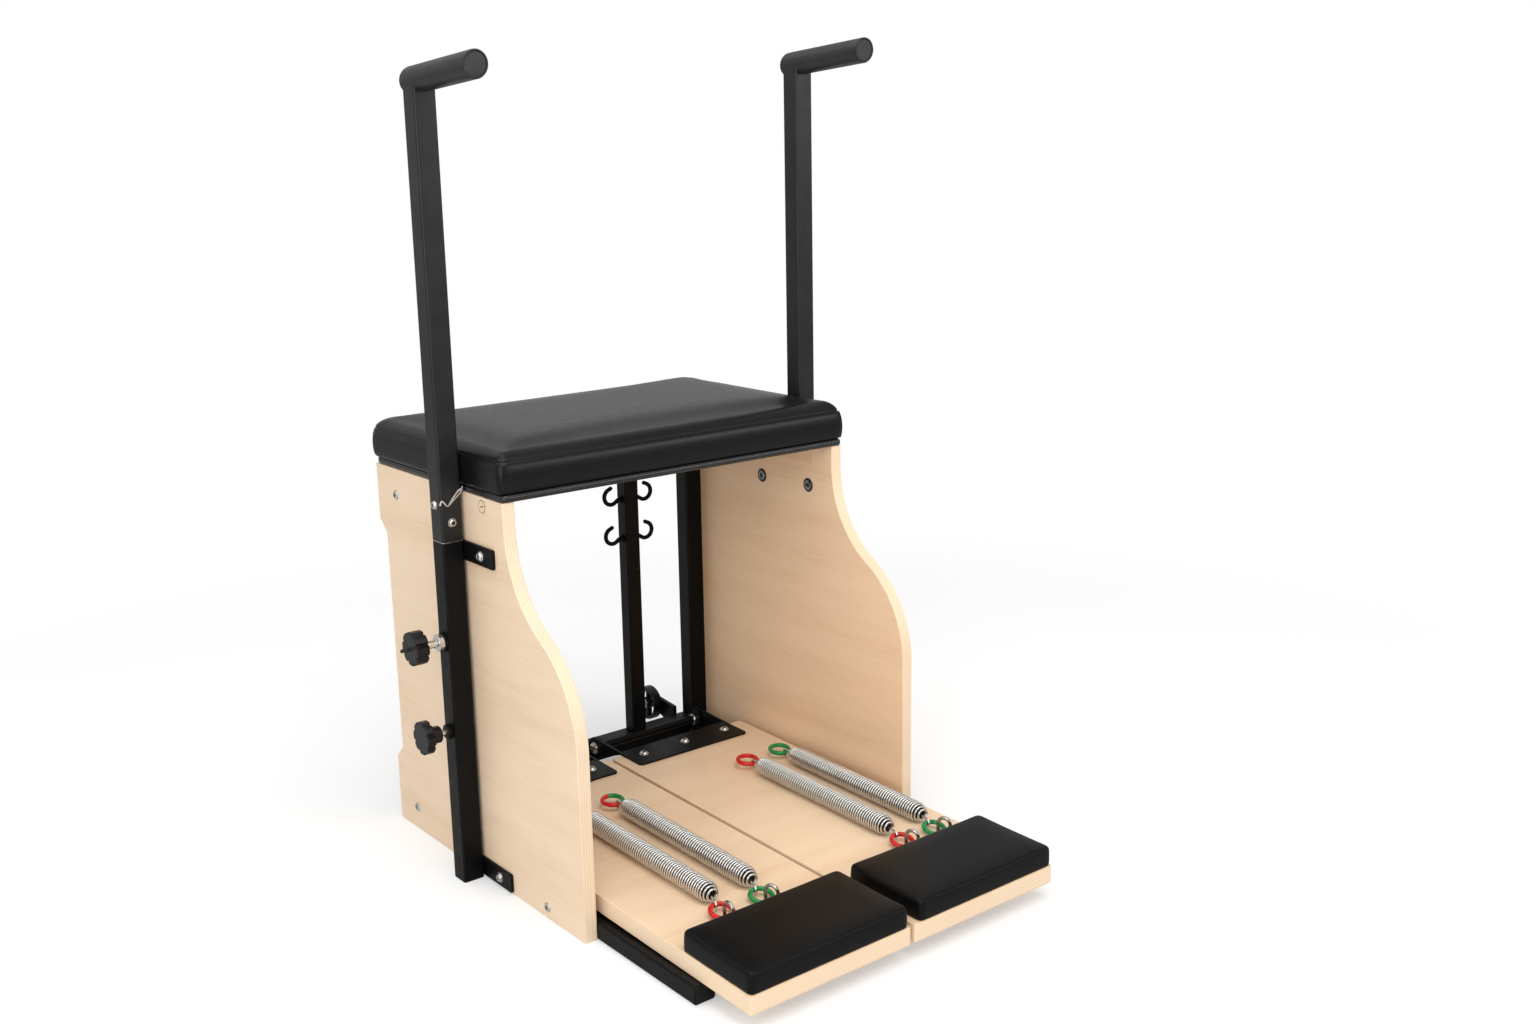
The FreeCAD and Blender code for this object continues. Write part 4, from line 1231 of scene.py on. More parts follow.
@dataclass(frozen=True)
class Padding:
    """Padded form: a band of rows round a plan, a crowned top and a flat underside."""

    plan: RoundedPlan
    base: float
    band: Profile
    crown: float
    shoulder: float
    reach: float
    held: tuple[int, ...]
    pressure: float
    cap: float
    quick_share: float = 0.42
    easing: int = 8
    frames: int = 20

    def swell(self, distance: Array) -> Array:
        """Share of the crown at a distance from the edge: a quick shoulder and then a slow sine rise."""
        slow = np.sin(np.pi / 2 * np.clip(distance / self.reach, 0, 1))
        return self.quick_share * (1 - np.exp(-distance / self.shoulder)) + (1 - self.quick_share) * slow

    def shell(self) -> Shell:
        """Cover before it is inflated: the band's outlines, the crowned top patch and the flat lower patch.

        Returns:
            The closed cover, with the band's rows first.
        """
        plan = self.plan
        loops = [plan.loop(inset) for inset, _ in self.band]
        rows = [stand(*loop.T, self.base + h, Axis.Z) for loop, (_, h) in zip(loops, self.band)]
        skin = loft(np.stack(rows))
        u = 1 - np.abs(np.linspace(-1, 1, plan.columns + 1))[None]
        v = 1 - np.abs(np.linspace(-1, 1, plan.rows + 1))[:, None]
        half = (np.array(plan.high) - np.array(plan.low)) / 2
        rise = self.crown * self.swell(u * half[0]) * self.swell(v * half[1])
        points, quads = [skin.points], [skin.quads]
        count = len(skin.points)
        for row, lift in ((-1, rise), (0, 0.0)):
            flat = plan.patch(loops[row])
            grid = stand(flat[..., 0], flat[..., 1], self.base + self.band[row][1] + lift, Axis.Z)
            border = np.arange(len(skin.points)).reshape(-1, plan.across)[row]
            quads.append(grid_quads(plan.border(border, count)))
            points.append(grid[1:-1, 1:-1].reshape(-1, 3))
            count += len(points[-1])
        return Shell(np.concatenate(points), np.concatenate(quads))

    def held_points(self, shell: Shell) -> Array:
        """Numbers of the points that sewing or the board keeps in place: the held rows and the underside.

        Args:
            shell: the cover.

        Returns:
            The numbers.
        """
        count = len(shell.points)
        inner = (self.plan.columns - 1) * (self.plan.rows - 1)
        rows = [np.arange(self.plan.across) + row * self.plan.across for row in self.held]
        return np.concatenate([*rows, np.arange(count - inner, count)])

    def eased(self, shell: Shell, move: Array) -> Array:
        """Moves without creases: each becomes its neighbours' mean several times, while held points stay.

        Args:
            shell: the cover.
            move: move of each of its points.

        Returns:
            The smoothed moves.
        """
        first, second = shell.quads.reshape(-1), np.roll(shell.quads, -1, axis=1).reshape(-1)
        held = self.held_points(shell)
        count = np.bincount(first, minlength=len(move)) + np.bincount(second, minlength=len(move))
        for _ in range(self.easing):
            total = np.zeros_like(move)
            np.add.at(total, first, move[second])
            np.add.at(total, second, move[first])
            move = total / count[:, None]
            move[held] = 0.0
        return move

    def inflated(self, name: str) -> Shell:
        """Cover blown up by a cloth simulation, each point's move limited to the cap.

        Args:
            name: name for the simulated copy.
        """
        shell = self.shell()
        mesh = closed_mesh(name + "_cloth", shell)
        cover = put(name + "_cloth", mesh)
        group = cover.vertex_groups.new(name="sewn")
        group.add(self.held_points(shell).tolist(), 1.0, "REPLACE")
        settings = cover.modifiers.new("cloth", "CLOTH").settings
        settings.use_pressure = True
        settings.uniform_pressure_force = self.pressure
        settings.vertex_group_mass = group.name
        settings.effector_weights.gravity = 0.0
        scene = bpy.context.scene
        for number in range(1, self.frames + 1):
            scene.frame_set(number)
        swollen = cover.evaluated_get(bpy.context.evaluated_depsgraph_get()).to_mesh()
        end = np.empty(len(swollen.vertices) * 3)
        swollen.vertices.foreach_get("co", end)
        scene.frame_set(1)
        move = end.reshape(-1, 3) - to_frame(shell.points)
        size = np.linalg.norm(move, axis=1, keepdims=True)
        limit = self.cap * MILLIMETRE
        log.info("%s swelled by %.1f mm at most", name, size.max() / MILLIMETRE)
        kept = self.eased(shell, move * (limit * np.tanh(size / limit) / np.maximum(size, 1e-9)))
        bpy.data.objects.remove(cover)
        bpy.data.meshes.remove(mesh)
        return Shell(shell.points + kept / MILLIMETRE, shell.quads)


@dataclass(frozen=True)
class Seat:
    """Seat board, upholstered cushion and its sewing."""

    radii: tuple[float, ...] = (7.0, 7.0, 22.0, 22.0)
    cover_radii: tuple[float, ...] = (9.0, 9.0, 26.0, 26.0)
    board_edge: float = 4.0
    bulge: Triple = (5.0, 1.0, 10.0)
    side_limit: float = 3.2
    left_dip: float = 0.22
    crown: float = 3.0
    shoulder: float = 14.0
    crown_reach: float = 120.0
    pressure: float = 4.0
    cap: float = 5.0
    fill: float = 0.85
    band: Profile = (
        (4.8, 0.0), (3.0, 1.2), (1.9, 4.0), (1.2, 9.0), (0.8, 15.0), (0.9, 21.0), (1.3, 27.0), (2.1, 32.5),
        (3.2, 36.8), (4.4, 39.8), (6.2, 41.0), (5.2, 42.3), (5.8, 45.4), (7.8, 49.6), (11.6, 53.8),
        (17.5, 57.0),
    )
    seam_row: int = 10
    seam_radius: float = 0.8
    seam_centre: float = 330.0
    stitch_radius: float = 0.4
    stitch_rise: float = 0.55
    columns: int = 112
    rows: int = 73

    def build(self) -> None:
        """Makes the board, the inflated cushion, its corner seams and its stitches."""
        low, high = extent("seat_board")
        outline = rounded_loop(low[:2], high[:2], self.radii, 10)
        dress("seat_board", plate(outline, low[2], high[2], self.board_edge, Axis.Z), BLACK_BOARD)
        side, front, rear = self.bulge
        corners = (low[0] - side, low[1] - front), (high[0] + side, high[1] + rear)
        plan = RoundedPlan(*corners, self.cover_radii, self.columns, self.rows)
        held = (0, 1, self.seam_row - 1, self.seam_row, self.seam_row + 1)
        shape = (self.crown, self.shoulder, self.crown_reach)
        padding = Padding(plan, high[2], self.band, *shape, held, self.pressure, self.cap)
        cover = padding.inflated("seat_cushion")
        x, _, z = cover.points.T
        x[:] = np.clip(x, low[0] - self.side_limit, high[0] + self.side_limit)
        over_seam = np.maximum(z - high[2] - self.band[self.seam_row][1], 0.0)
        z -= self.left_dip * over_seam * (high[0] - x) / (high[0] - low[0])
        make_cover("seat_cushion", cover, SEAT_VINYL, "frame")
        grid = cover.points[: plan.across * len(self.band)].reshape(len(self.band), plan.across, 3)
        seams = [self.corner_seam(grid[1 : self.seam_row, place]) for place in (0, self.columns)]
        make_piece("seat_corner_seams", join(seams), SEAT_VINYL)
        stitches = self.stitches(grid[self.seam_row], grid[self.seam_row + 2])
        make_piece("seat_stitches", stitches, SEAT_THREAD)

    def corner_seam(self, path: Array) -> Shell:
        """Raised upright seam where the side bands meet, along a column of the swollen band."""
        outward = (path - self.seam_centre * Y_WAY) * (X_WAY + Y_WAY)
        return wire(path, self.seam_radius, outward, 8)

    def stitches(self, seam: Array, above: Array) -> Shell:
        """Thread along the seam: each second gap of the loop holds a short six-sided bar with drawn-in ends.

        Args:
            seam: points of the seam's loop.
            above: points of the row above it.

        Returns:
            All stitches as one shell.
        """
        line = seam * (1 - self.stitch_rise) + above * self.stitch_rise
        start, end = line[0::2], line[1::2]
        along = end - start
        outward = np.stack([along[:, 1], -along[:, 0], np.zeros(len(along))], axis=-1)
        outward = outward / np.linalg.norm(outward, axis=1, keepdims=True)
        share = np.array([0.0, 0.2, 0.8, 1.0])[None, :, None, None]
        radius = self.stitch_radius * np.array([0.35, 1.0, 1.0, 0.35])[None, :, None, None]
        a = angles(6)[None, None, :, None]
        ring = np.cos(a) * outward[:, None, None] + np.sin(a) * Z_WAY
        points = start[:, None, None] + share * along[:, None, None] + radius * ring
        return join([loft(rows) for rows in points])


@dataclass(frozen=True)
class RearFrame:
    """Square-tube rear frame with hooks, hinge lugs, floor rails and the pivot rods."""

    stock: TubeStock = TubeStock()
    rod: float = 3.3
    bend: float = 12.5
    bend_turn: float = 190.0
    neck: float = 7.0
    neck_turn: float = 34.0
    neck_run: float = 5.0
    tip_run: float = 5.0
    boss: Profile = ((-0.5, 6.2), (1.8, 6.2), (3.0, 4.96))
    lug_radius: float = 14.0
    lug_edge: float = 0.5
    lug_gap: float = 4.4
    lug_thickness: float = 6.0
    plug_inset: float = 1.2
    plug_corner: float = 2.6
    plug_depth: float = 5.0
    plug_edge: float = 1.0
    pivot_radius: float = 6.0
    head_depth: float = 5.0
    head_gap: float = 0.3
    head: SocketBolt = SocketBolt(head_radius=8.0, head_height=3.7, socket=3.4, washer_radius=9.8, washer=1.2)
    collar: Profile = ((0.2, 8.6), (1.0, 9.2), (4.4, 9.2), (5.2, 8.6))

    def build(self) -> None:
        """Makes the cross tube, posts, hooks, rails and pivot rods."""
        self.cross_tube()
        for side in Side:
            for name in ("rear_post", "hook_post"):
                node = f"{name}_{side.word}"
                low, high = extent(node)
                dress(node, self.stock.run(low[:2], high[:2], low[2], high[2], Axis.Z), BLACK_COAT)
            for level in ("upper", "lower"):
                self.hooks(side, level)
            self.rail(side)
            self.pivot_rod(side)

    def cross_tube(self) -> None:
        """Makes the cross tube and its four lugs, straight from the tube's face to a nose about the pivot."""
        left, right = extent("rear_post_left"), extent("rear_post_right")
        front, rear = right[0][1], right[1][1]
        low, high = extent("rear_cross_tube")[0][2], right[0][2]
        nose = arc(PIVOT, self.lug_radius, 270.0, 90.0, 18)
        outline = np.concatenate([nose, np.array([(front, high), (front, low)])])
        pieces = [self.stock.run((front, low), (rear, high), left[0][0], right[1][0], Axis.X)]
        for side in Side:
            inner, outer = extent(f"hinge_bracket_{side.word}")
            for start in (inner[0] + self.lug_gap, outer[0] - self.lug_gap - self.lug_thickness):
                pieces.append(plate(outline, start, start + self.lug_thickness, self.lug_edge, Axis.X))
        dress("rear_cross_tube", join(pieces), BLACK_COAT)

    def hooks(self, side: Side, level: str) -> None:
        """Makes a hook pair of one post: a rod bent down and then up round, with a boss on each face.

        Args:
            side: side of the post.
            level: height of the pair as the nodes spell it.
        """
        node = f"hook_pair_{level}_{side.word}"
        low, high = extent(f"hook_post_{side.word}")
        centre = (low + high) / 2
        half = (high[0] - low[0]) / 2
        moves = [(half + self.rod, 0.0), (self.neck, -self.neck_turn), (self.neck_run, 0.0)]
        moves += [(self.bend, self.bend_turn), (self.tip_run, 0.0)]
        turn = math.radians(self.neck_turn)
        drop = (self.neck + self.bend) * (1 - math.cos(turn)) + self.neck_run * math.sin(turn)
        z = extent(node)[0][2] + drop + self.rod
        run = bent((0.0, 0.0), 0.0, moves)
        both = np.concatenate([run[:0:-1] * np.array([-1.0, 1.0]), run])
        path = stand(centre[0] + both[:, 0], z + both[:, 1], centre[1], Axis.Y)
        pieces = [wire(path, self.rod, Y_WAY, 14)]
        for way in (-1.0, 1.0):
            profile = [(centre[0] + way * (half + d), r) for d, r in self.boss]
            pieces.append(turned(profile, (centre[1], z), Axis.X, 24))
        dress(node, join(pieces), BLACK_COAT)

    def rail(self, side: Side) -> None:
        """Makes one floor rail and the plastic plug in its front end.

        Args:
            side: side of the rail.
        """
        node = f"floor_rail_{side.word}"
        low, high = extent(node)
        dress(node, self.stock.run(low[::2], high[::2], low[1], high[1], Axis.Y), BLACK_COAT)
        outline = rounded_loop(low[::2] + self.plug_inset, high[::2] - self.plug_inset, self.plug_corner)
        plug = plate(outline, low[1] - self.plug_inset, low[1] + self.plug_depth, self.plug_edge, Axis.Y)
        make_piece(f"{node}_plug", plug, KNOB_PLASTIC)

    def pivot_rod(self, side: Side) -> None:
        """Makes the hinge rod with socket heads outside the ears and a locking collar inside the outer lug.

        Args:
            side: side of the rod.
        """
        word = side.word
        low, high = extent(f"pivot_rod_{word}")
        start, end = low[0] + self.head_depth, high[0] - self.head_depth
        rod = [(start - 0.5, self.pivot_radius), (end + 0.5, self.pivot_radius)]
        dress(f"pivot_rod_{word}", turned(rod, PIVOT, Axis.X), BLACK_COAT)
        outer = high[0] if side is Side.RIGHT else low[0]
        inside = self.head_depth + self.head_gap + self.lug_gap + self.lug_thickness
        collar = [(outer - side.value * (inside + d), r) for d, r in self.collar]
        make_piece(f"pivot_collar_{word}", turned(collar, PIVOT, Axis.X), NICKEL)
        for name, x, way in (("inner", start, -1.0), ("outer", end, 1.0)):
            seat = [(x, *PIVOT)]
            add_bolts(f"pivot_{name}_head_{word}", self.head, seat, Axis.X, way, "frame", lambda shell: shell)


@dataclass(frozen=True)
class Handle:
    """Telescopic handle of one side: sleeve, posts, hand grip, clip and bolts."""

    side: Side
    stock: TubeStock = TubeStock()
    gap: float = 1.1
    tab_reach: float = 73.0
    tab_height: float = 26.0
    tab_low: float = 3.0
    tab_corner: float = 3.0
    tab_edge: float = 0.7
    tab_bolts: Profile = ((205.0, 459.0), (203.0, 16.0))
    nuts: tuple[Triple, ...] = ((PIN_HEIGHT, 13.0, 4.0), (CLAMP_HEIGHT, 10.0, 6.0))
    nut_flat: float = 0.93
    bush: TubeStock = TubeStock(2.4, 3.0, 0.2)
    collar: Profile = ((3.5, 10.4), (4.3, 11.5), (10.0, 11.5), (10.9, 10.6), (11.0, 7.0))
    collar_flat: float = 0.95
    post_bolt: SocketBolt = SocketBolt(head_radius=5.4, washer_radius=6.0, washer=0.5)
    outer_bolt: float = 521.0
    front_bolt: float = 498.0
    grip_height: float = 1047.5
    grip_radius: float = 17.0
    grip_rise: float = 4.4
    grip_front: float = 144.0
    grip_rear: float = 24.0
    grip_dome: float = 9.0
    grip_lip: Profile = ((-1.6, 0.0), (-0.5, -0.5), (0.0, -1.6), (-0.2, -2.6), (-1.4, -2.9))
    disc: Profile = ((-2.0, 14.0), (-1.1, 14.0), (-0.7, 13.4), (-0.6, 4.0))
    clip_rise: float = 51.0
    clip_radius: float = 1.2
    clip_bends: Profile = (
        (16.0, 0.5), (14.4, 4.0), (12.2, 5.2), (9.0, 1.0), (5.5, -2.0), (-3.0, 4.6), (-12.4, 12.6),
        (-15.6, 16.5), (-16.6, 20.5),
    )
    twin_bends: Profile = ((5.0, -1.8), (-2.0, 7.0), (-9.5, 15.2), (-14.8, 17.8))
    twin_lift: float = 0.4

    @property
    def rider(self) -> str:
        """Body of the sliding handle."""
        return f"handle_{self.side.word}"

    @property
    def lift(self) -> float:
        """Height by which the handle is drawn up out of its sleeve."""
        return extent(f"handle_post_{self.side.word}")[0][2] - extent(f"handle_sleeve_{self.side.word}")[1][2]

    @property
    def section(self) -> tuple[Array, Array]:
        """Corners of the upper post, lowered and on the right side.

        Returns:
            Lowest and highest corner.
        """
        low, high = (corner - self.lift * Z_WAY for corner in extent(f"handle_post_{self.side.word}"))
        if self.side is Side.LEFT:
            low[0], high[0] = -high[0], -low[0]
        return low, high

    def sided(self, shell: Shell) -> Shell:
        """A piece of the right sleeve, put on its side."""
        return shell.mirrored(self.side)

    def raised(self, shell: Shell) -> Shell:
        """A piece of the lowered right handle, drawn up and put on its side."""
        return shell.moved(self.lift * Z_WAY).mirrored(self.side)

    def build(self) -> None:
        """Makes the sleeve, the upper post, the grip, the clip and the bolts."""
        self.sleeve()
        self.post()
        self.grip()
        self.clip()
        finish_node(f"inner_post_{self.side.word}", ZINC_TUBE)

    def sleeve(self) -> None:
        """Makes the sleeve with its bolting tabs, pin collar, clamp nut and the bush in its top."""
        low, high = self.section
        word = self.side.word
        panel = extent("side_panel_right")[1][0]
        pieces = [self.stock.run(low[:2], high[:2], 0.0, low[2], Axis.Z)]
        for start in (low[2] - self.tab_height, self.tab_low):
            tab = (low[1] - self.tab_reach, start), (high[1] - self.tab_corner, start + self.tab_height)
            pieces.append(plate(rounded_loop(*tab, self.tab_corner), panel, low[0], self.tab_edge, Axis.X))
        middle = (low[1] + high[1]) / 2
        for z, radius, length in self.nuts:
            nut = radius * np.array([[1.0], [1.0], [0.93]]) * hexagon(48, self.nut_flat)
            pieces.append(spun(high[0] + np.array([-1.0, length - 0.8, length]), nut, (middle, z), Axis.X))
        dress(f"handle_sleeve_{word}", join(pieces).mirrored(self.side), BLACK_COAT)
        bush = self.bush.run(low[:2] + 0.2, high[:2] - 0.2, low[2] + 0.02, low[2] + self.gap - 0.1, Axis.Z)
        make_piece(f"sleeve_bush_{word}", bush.mirrored(self.side), NICKEL)
        tabs = [(low[0], y, z) for y, z in self.tab_bolts]
        add_bolts(f"tab_bolts_{word}", SocketBolt(), tabs, Axis.X, 1.0, "frame", self.sided)
        level, radius = np.array(self.collar).T
        ring = radius[:, None] * hexagon(48, self.collar_flat)
        ring[-1] = radius[-1]
        collar = spun(high[0] + level, ring, (middle, PIN_HEIGHT), Axis.X)
        make_piece(f"pin_collar_{word}", collar.mirrored(self.side), NICKEL)

    def post(self) -> None:
        """Makes the upper post, whose top is cut to the round of the hand grip, and its bolts."""
        low, high = self.section
        word = self.side.word
        middle = (low + high) / 2
        slope = math.tan(math.radians(self.grip_rise))

        def saddle(uv: Array) -> Array:
            """Lower side of the grip over the section's points: its height less the circle's drop and slope.

            Args:
                uv: points of the section.

            Returns:
                Height of the cut at each point.
            """
            across = np.clip(np.abs(uv[:, 0] - middle[0]), 0, self.grip_radius - 0.3)
            drop = np.sqrt(self.grip_radius**2 - across**2)
            return self.grip_height - drop + 0.6 - (uv[:, 1] - middle[1]) * slope

        tube = self.stock.run(low[:2], high[:2], low[2] + self.gap, saddle, Axis.Z)
        # The upper post takes the lighter copy of the black coat, which paints light onto it.
        dress(f"handle_post_{word}", self.raised(tube), POST_COAT_PAINTED_LIGHT, self.rider)
        outer = (high[0], middle[1], self.outer_bolt)
        front = (middle[0], low[1], self.front_bolt)
        for name, seat, axis, way in (("outer", outer, Axis.X, 1.0), ("front", front, Axis.Y, -1.0)):
            add_bolts(f"post_bolt_{name}_{word}", self.post_bolt, [seat], axis, way, self.rider, self.raised)

    def grip(self) -> None:
        """Makes the hand grip with its domed rear and the disc in its front end."""
        middle = sum(self.section) / 2
        word = self.side.word
        r, front = self.grip_radius, self.grip_front
        dome = arc((self.grip_dome - self.grip_rear, r - self.grip_dome), self.grip_dome, 180.0, 90.0, 8)
        body = [*dome, *((front + d, r + step) for d, step in self.grip_lip)]
        disc = [(front + d, radius) for d, radius in self.disc]

        def laid(points: Array) -> Array:
            """Points turned about Y, laid along the rising grip.

            Args:
                points: points with the grip's length along Y.

            Returns:
                Points on the lowered right post.
            """
            a = math.radians(self.grip_rise)
            x, along, up = points.T
            y = middle[1] - along * math.cos(a) - up * math.sin(a)
            z = self.grip_height + along * math.sin(a) + up * math.cos(a)
            return np.stack([x + middle[0], y, z], axis=-1)

        whole, end = (self.raised(turned(p, (0.0, 0.0), Axis.Y, 48).mapped(laid)) for p in (body, disc))
        dress(f"handle_grip_{word}", whole, GRIP_FOAM, self.rider)
        make_piece(f"grip_disc_{word}", end, GRIP_DISC, self.rider)

    def clip(self) -> None:
        """Makes the spring clip of two bent wires across the front of the post."""
        low, high = self.section
        x, z = (low[0] + high[0]) / 2, low[2] + self.clip_rise
        y = low[1] - self.clip_radius - 0.1
        path = smooth_path([(x + u, y, z + v) for u, v in self.clip_bends])
        twin = smooth_path([(x + u, y - self.twin_lift, z + v) for u, v in self.twin_bends])
        pieces = [wire(path, self.clip_radius, Y_WAY, 10), wire(twin, self.clip_radius * 0.9, Y_WAY, 10)]
        dress(f"post_clip_{self.side.word}", self.raised(join(pieces)), NICKEL, self.rider)


@dataclass(frozen=True)
class LockKnobs:
    """Pull pin and clamp screw of one side, each with a star knob."""

    side: Side
    centre: float = 262.0
    pin_face: float = 345.0
    pin_thickness: float = 17.7
    pin_shaft: Profile = ((285.0, 3.0), (286.5, 4.0), (325.3, 4.0), (325.3, 5.0), (325.9, 5.5), (346.0, 5.5))
    stud: Profile = ((-2.0, 2.6), (11.8, 2.6), (12.7, 2.0), (13.0, 0.8))
    clamp_face: float = 344.5
    clamp_thickness: float = 11.5
    clamp_screw: Profile = ((312.2, 3.4), (312.8, 4.0), (331.0, 4.0))
    clamp_collar: Profile = ((329.0, 10.2), (330.3, 11.5), (345.5, 11.5))
    radius: float = 22.5
    lobes: int = 8
    flute: float = 3.2
    flute_share: float = 0.2
    flute_power: float = 0.6
    edge: float = 1.4
    face_rows: Profile = ((-0.3, 1.0), (0.05, 1.0), (0.15, 0.985), (0.1, 0.6), (0.05, 0.1))

    def star(self, face: float, z: float, thickness: float) -> tuple[Shell, Shell]:
        """Star knob: the radius dips by a raised cosine at each flute, with round edges and a flat face.

        Args:
            face: X of the knob's rear face.
            z: height of its axis.
            thickness: thickness of the knob.

        Returns:
            The knob, and the low plate of its front face.
        """
        pitch = 2 * np.pi / self.lobes
        off = np.abs(np.mod(angles(24 * self.lobes), pitch) - pitch / 2) / (pitch * self.flute_share)
        dip = np.where(off < 1, (0.5 + 0.5 * np.cos(np.pi * off)) ** self.flute_power, 0.0)
        rim = self.radius - self.flute * dip
        inset, level = round_edges(0.0, thickness, self.edge, 4)
        rise, share = np.array(self.face_rows).T
        centre = (self.centre, z)
        knob = spun(face + level, rim - inset[:, None], centre, Axis.X)
        front = spun(face + thickness + rise, (rim - self.edge - 0.2) * share[:, None], centre, Axis.X)
        return knob.mirrored(self.side), front.mirrored(self.side)

    def build(self) -> None:
        """Makes the pin's shaft and knob and the clamp's screw and knob."""
        word = self.side.word
        rider = f"pull_pin_{word}"
        centre = (self.centre, PIN_HEIGHT)
        shaft = turned(self.pin_shaft, centre, Axis.X)
        make_piece(f"pull_pin_shaft_{word}", shaft.mirrored(self.side), NICKEL, rider)
        tip = self.pin_face + self.pin_thickness
        stud = turned([(tip + d, r) for d, r in self.stud], centre, Axis.X, 24)
        # The stud and the knob faces take the lighter grey of a painted reflection.
        make_piece(f"pull_pin_stud_{word}", stud.mirrored(self.side), KNOB_FACE_PAINTED_REFLECTION, rider)
        knob, front = self.star(self.pin_face, PIN_HEIGHT, self.pin_thickness)
        make_piece(f"pull_pin_knob_{word}", knob, KNOB_PLASTIC, rider, [rider])
        make_piece(f"pull_pin_face_{word}", front, KNOB_FACE_PAINTED_REFLECTION, rider)
        rider = f"clamp_knob_{word}"
        centre = (self.centre, CLAMP_HEIGHT)
        screw = turned(self.clamp_screw, centre, Axis.X, 24)
        make_piece(f"clamp_screw_{word}", screw.mirrored(self.side), NICKEL, rider)
        collar = turned(self.clamp_collar, centre, Axis.X, 40).mirrored(self.side)
        knob, front = self.star(self.clamp_face, CLAMP_HEIGHT, self.clamp_thickness)
        dress(rider, join([collar, knob]), KNOB_PLASTIC, rider)
        # The clamp knob's face takes the lighter grey of a painted reflection.
        make_piece(f"clamp_face_{word}", front, KNOB_FACE_PAINTED_REFLECTION, rider)


@dataclass(frozen=True)
class PedalRest:
    """Slope at which the pedals rest, about their pivot."""

    slope: float = 1.0
    board_top: float = 59.5
    board_bottom: float = 35.5

    def lowered(self, points: Array) -> Array:
        """Points of the level pedal, turned about the pivot to the rest slope.

        Args:
            points: points with X, Y, Z on the last dimension.

        Returns:
            The turned points.
        """
        a = math.radians(self.slope)
        dy, dz = points[..., 1] - PIVOT[0], points[..., 2] - PIVOT[1]
        y = PIVOT[0] + dy * math.cos(a) - dz * math.sin(a)
        z = PIVOT[1] + dy * math.sin(a) + dz * math.cos(a)
        return np.stack([points[..., 0], y, z], axis=-1)

    def unturned_low(self) -> float:
        """Height of the board's underside in metres, once the slope is turned back about the frame's origin.

        Returns:
            The height.
        """
        a = math.radians(self.slope)
        y, z = to_frame(self.lowered(self.board_bottom * Z_WAY))[1:]
        return float(z * math.cos(a) - y * math.sin(a))


REST = PedalRest()
BOARD_PLY = Plywood(
    name="pedal_plywood",
    slot="pedal_plywood",
    through=Axis.Z,
    along=Axis.X,
    low=REST.unturned_low(),
    thickness=0.024,
    tilt=REST.slope,
    pale=(0.83, 0.62, 0.42),
    middle=(0.795, 0.58, 0.385),
    deep=(0.745, 0.525, 0.335),
)


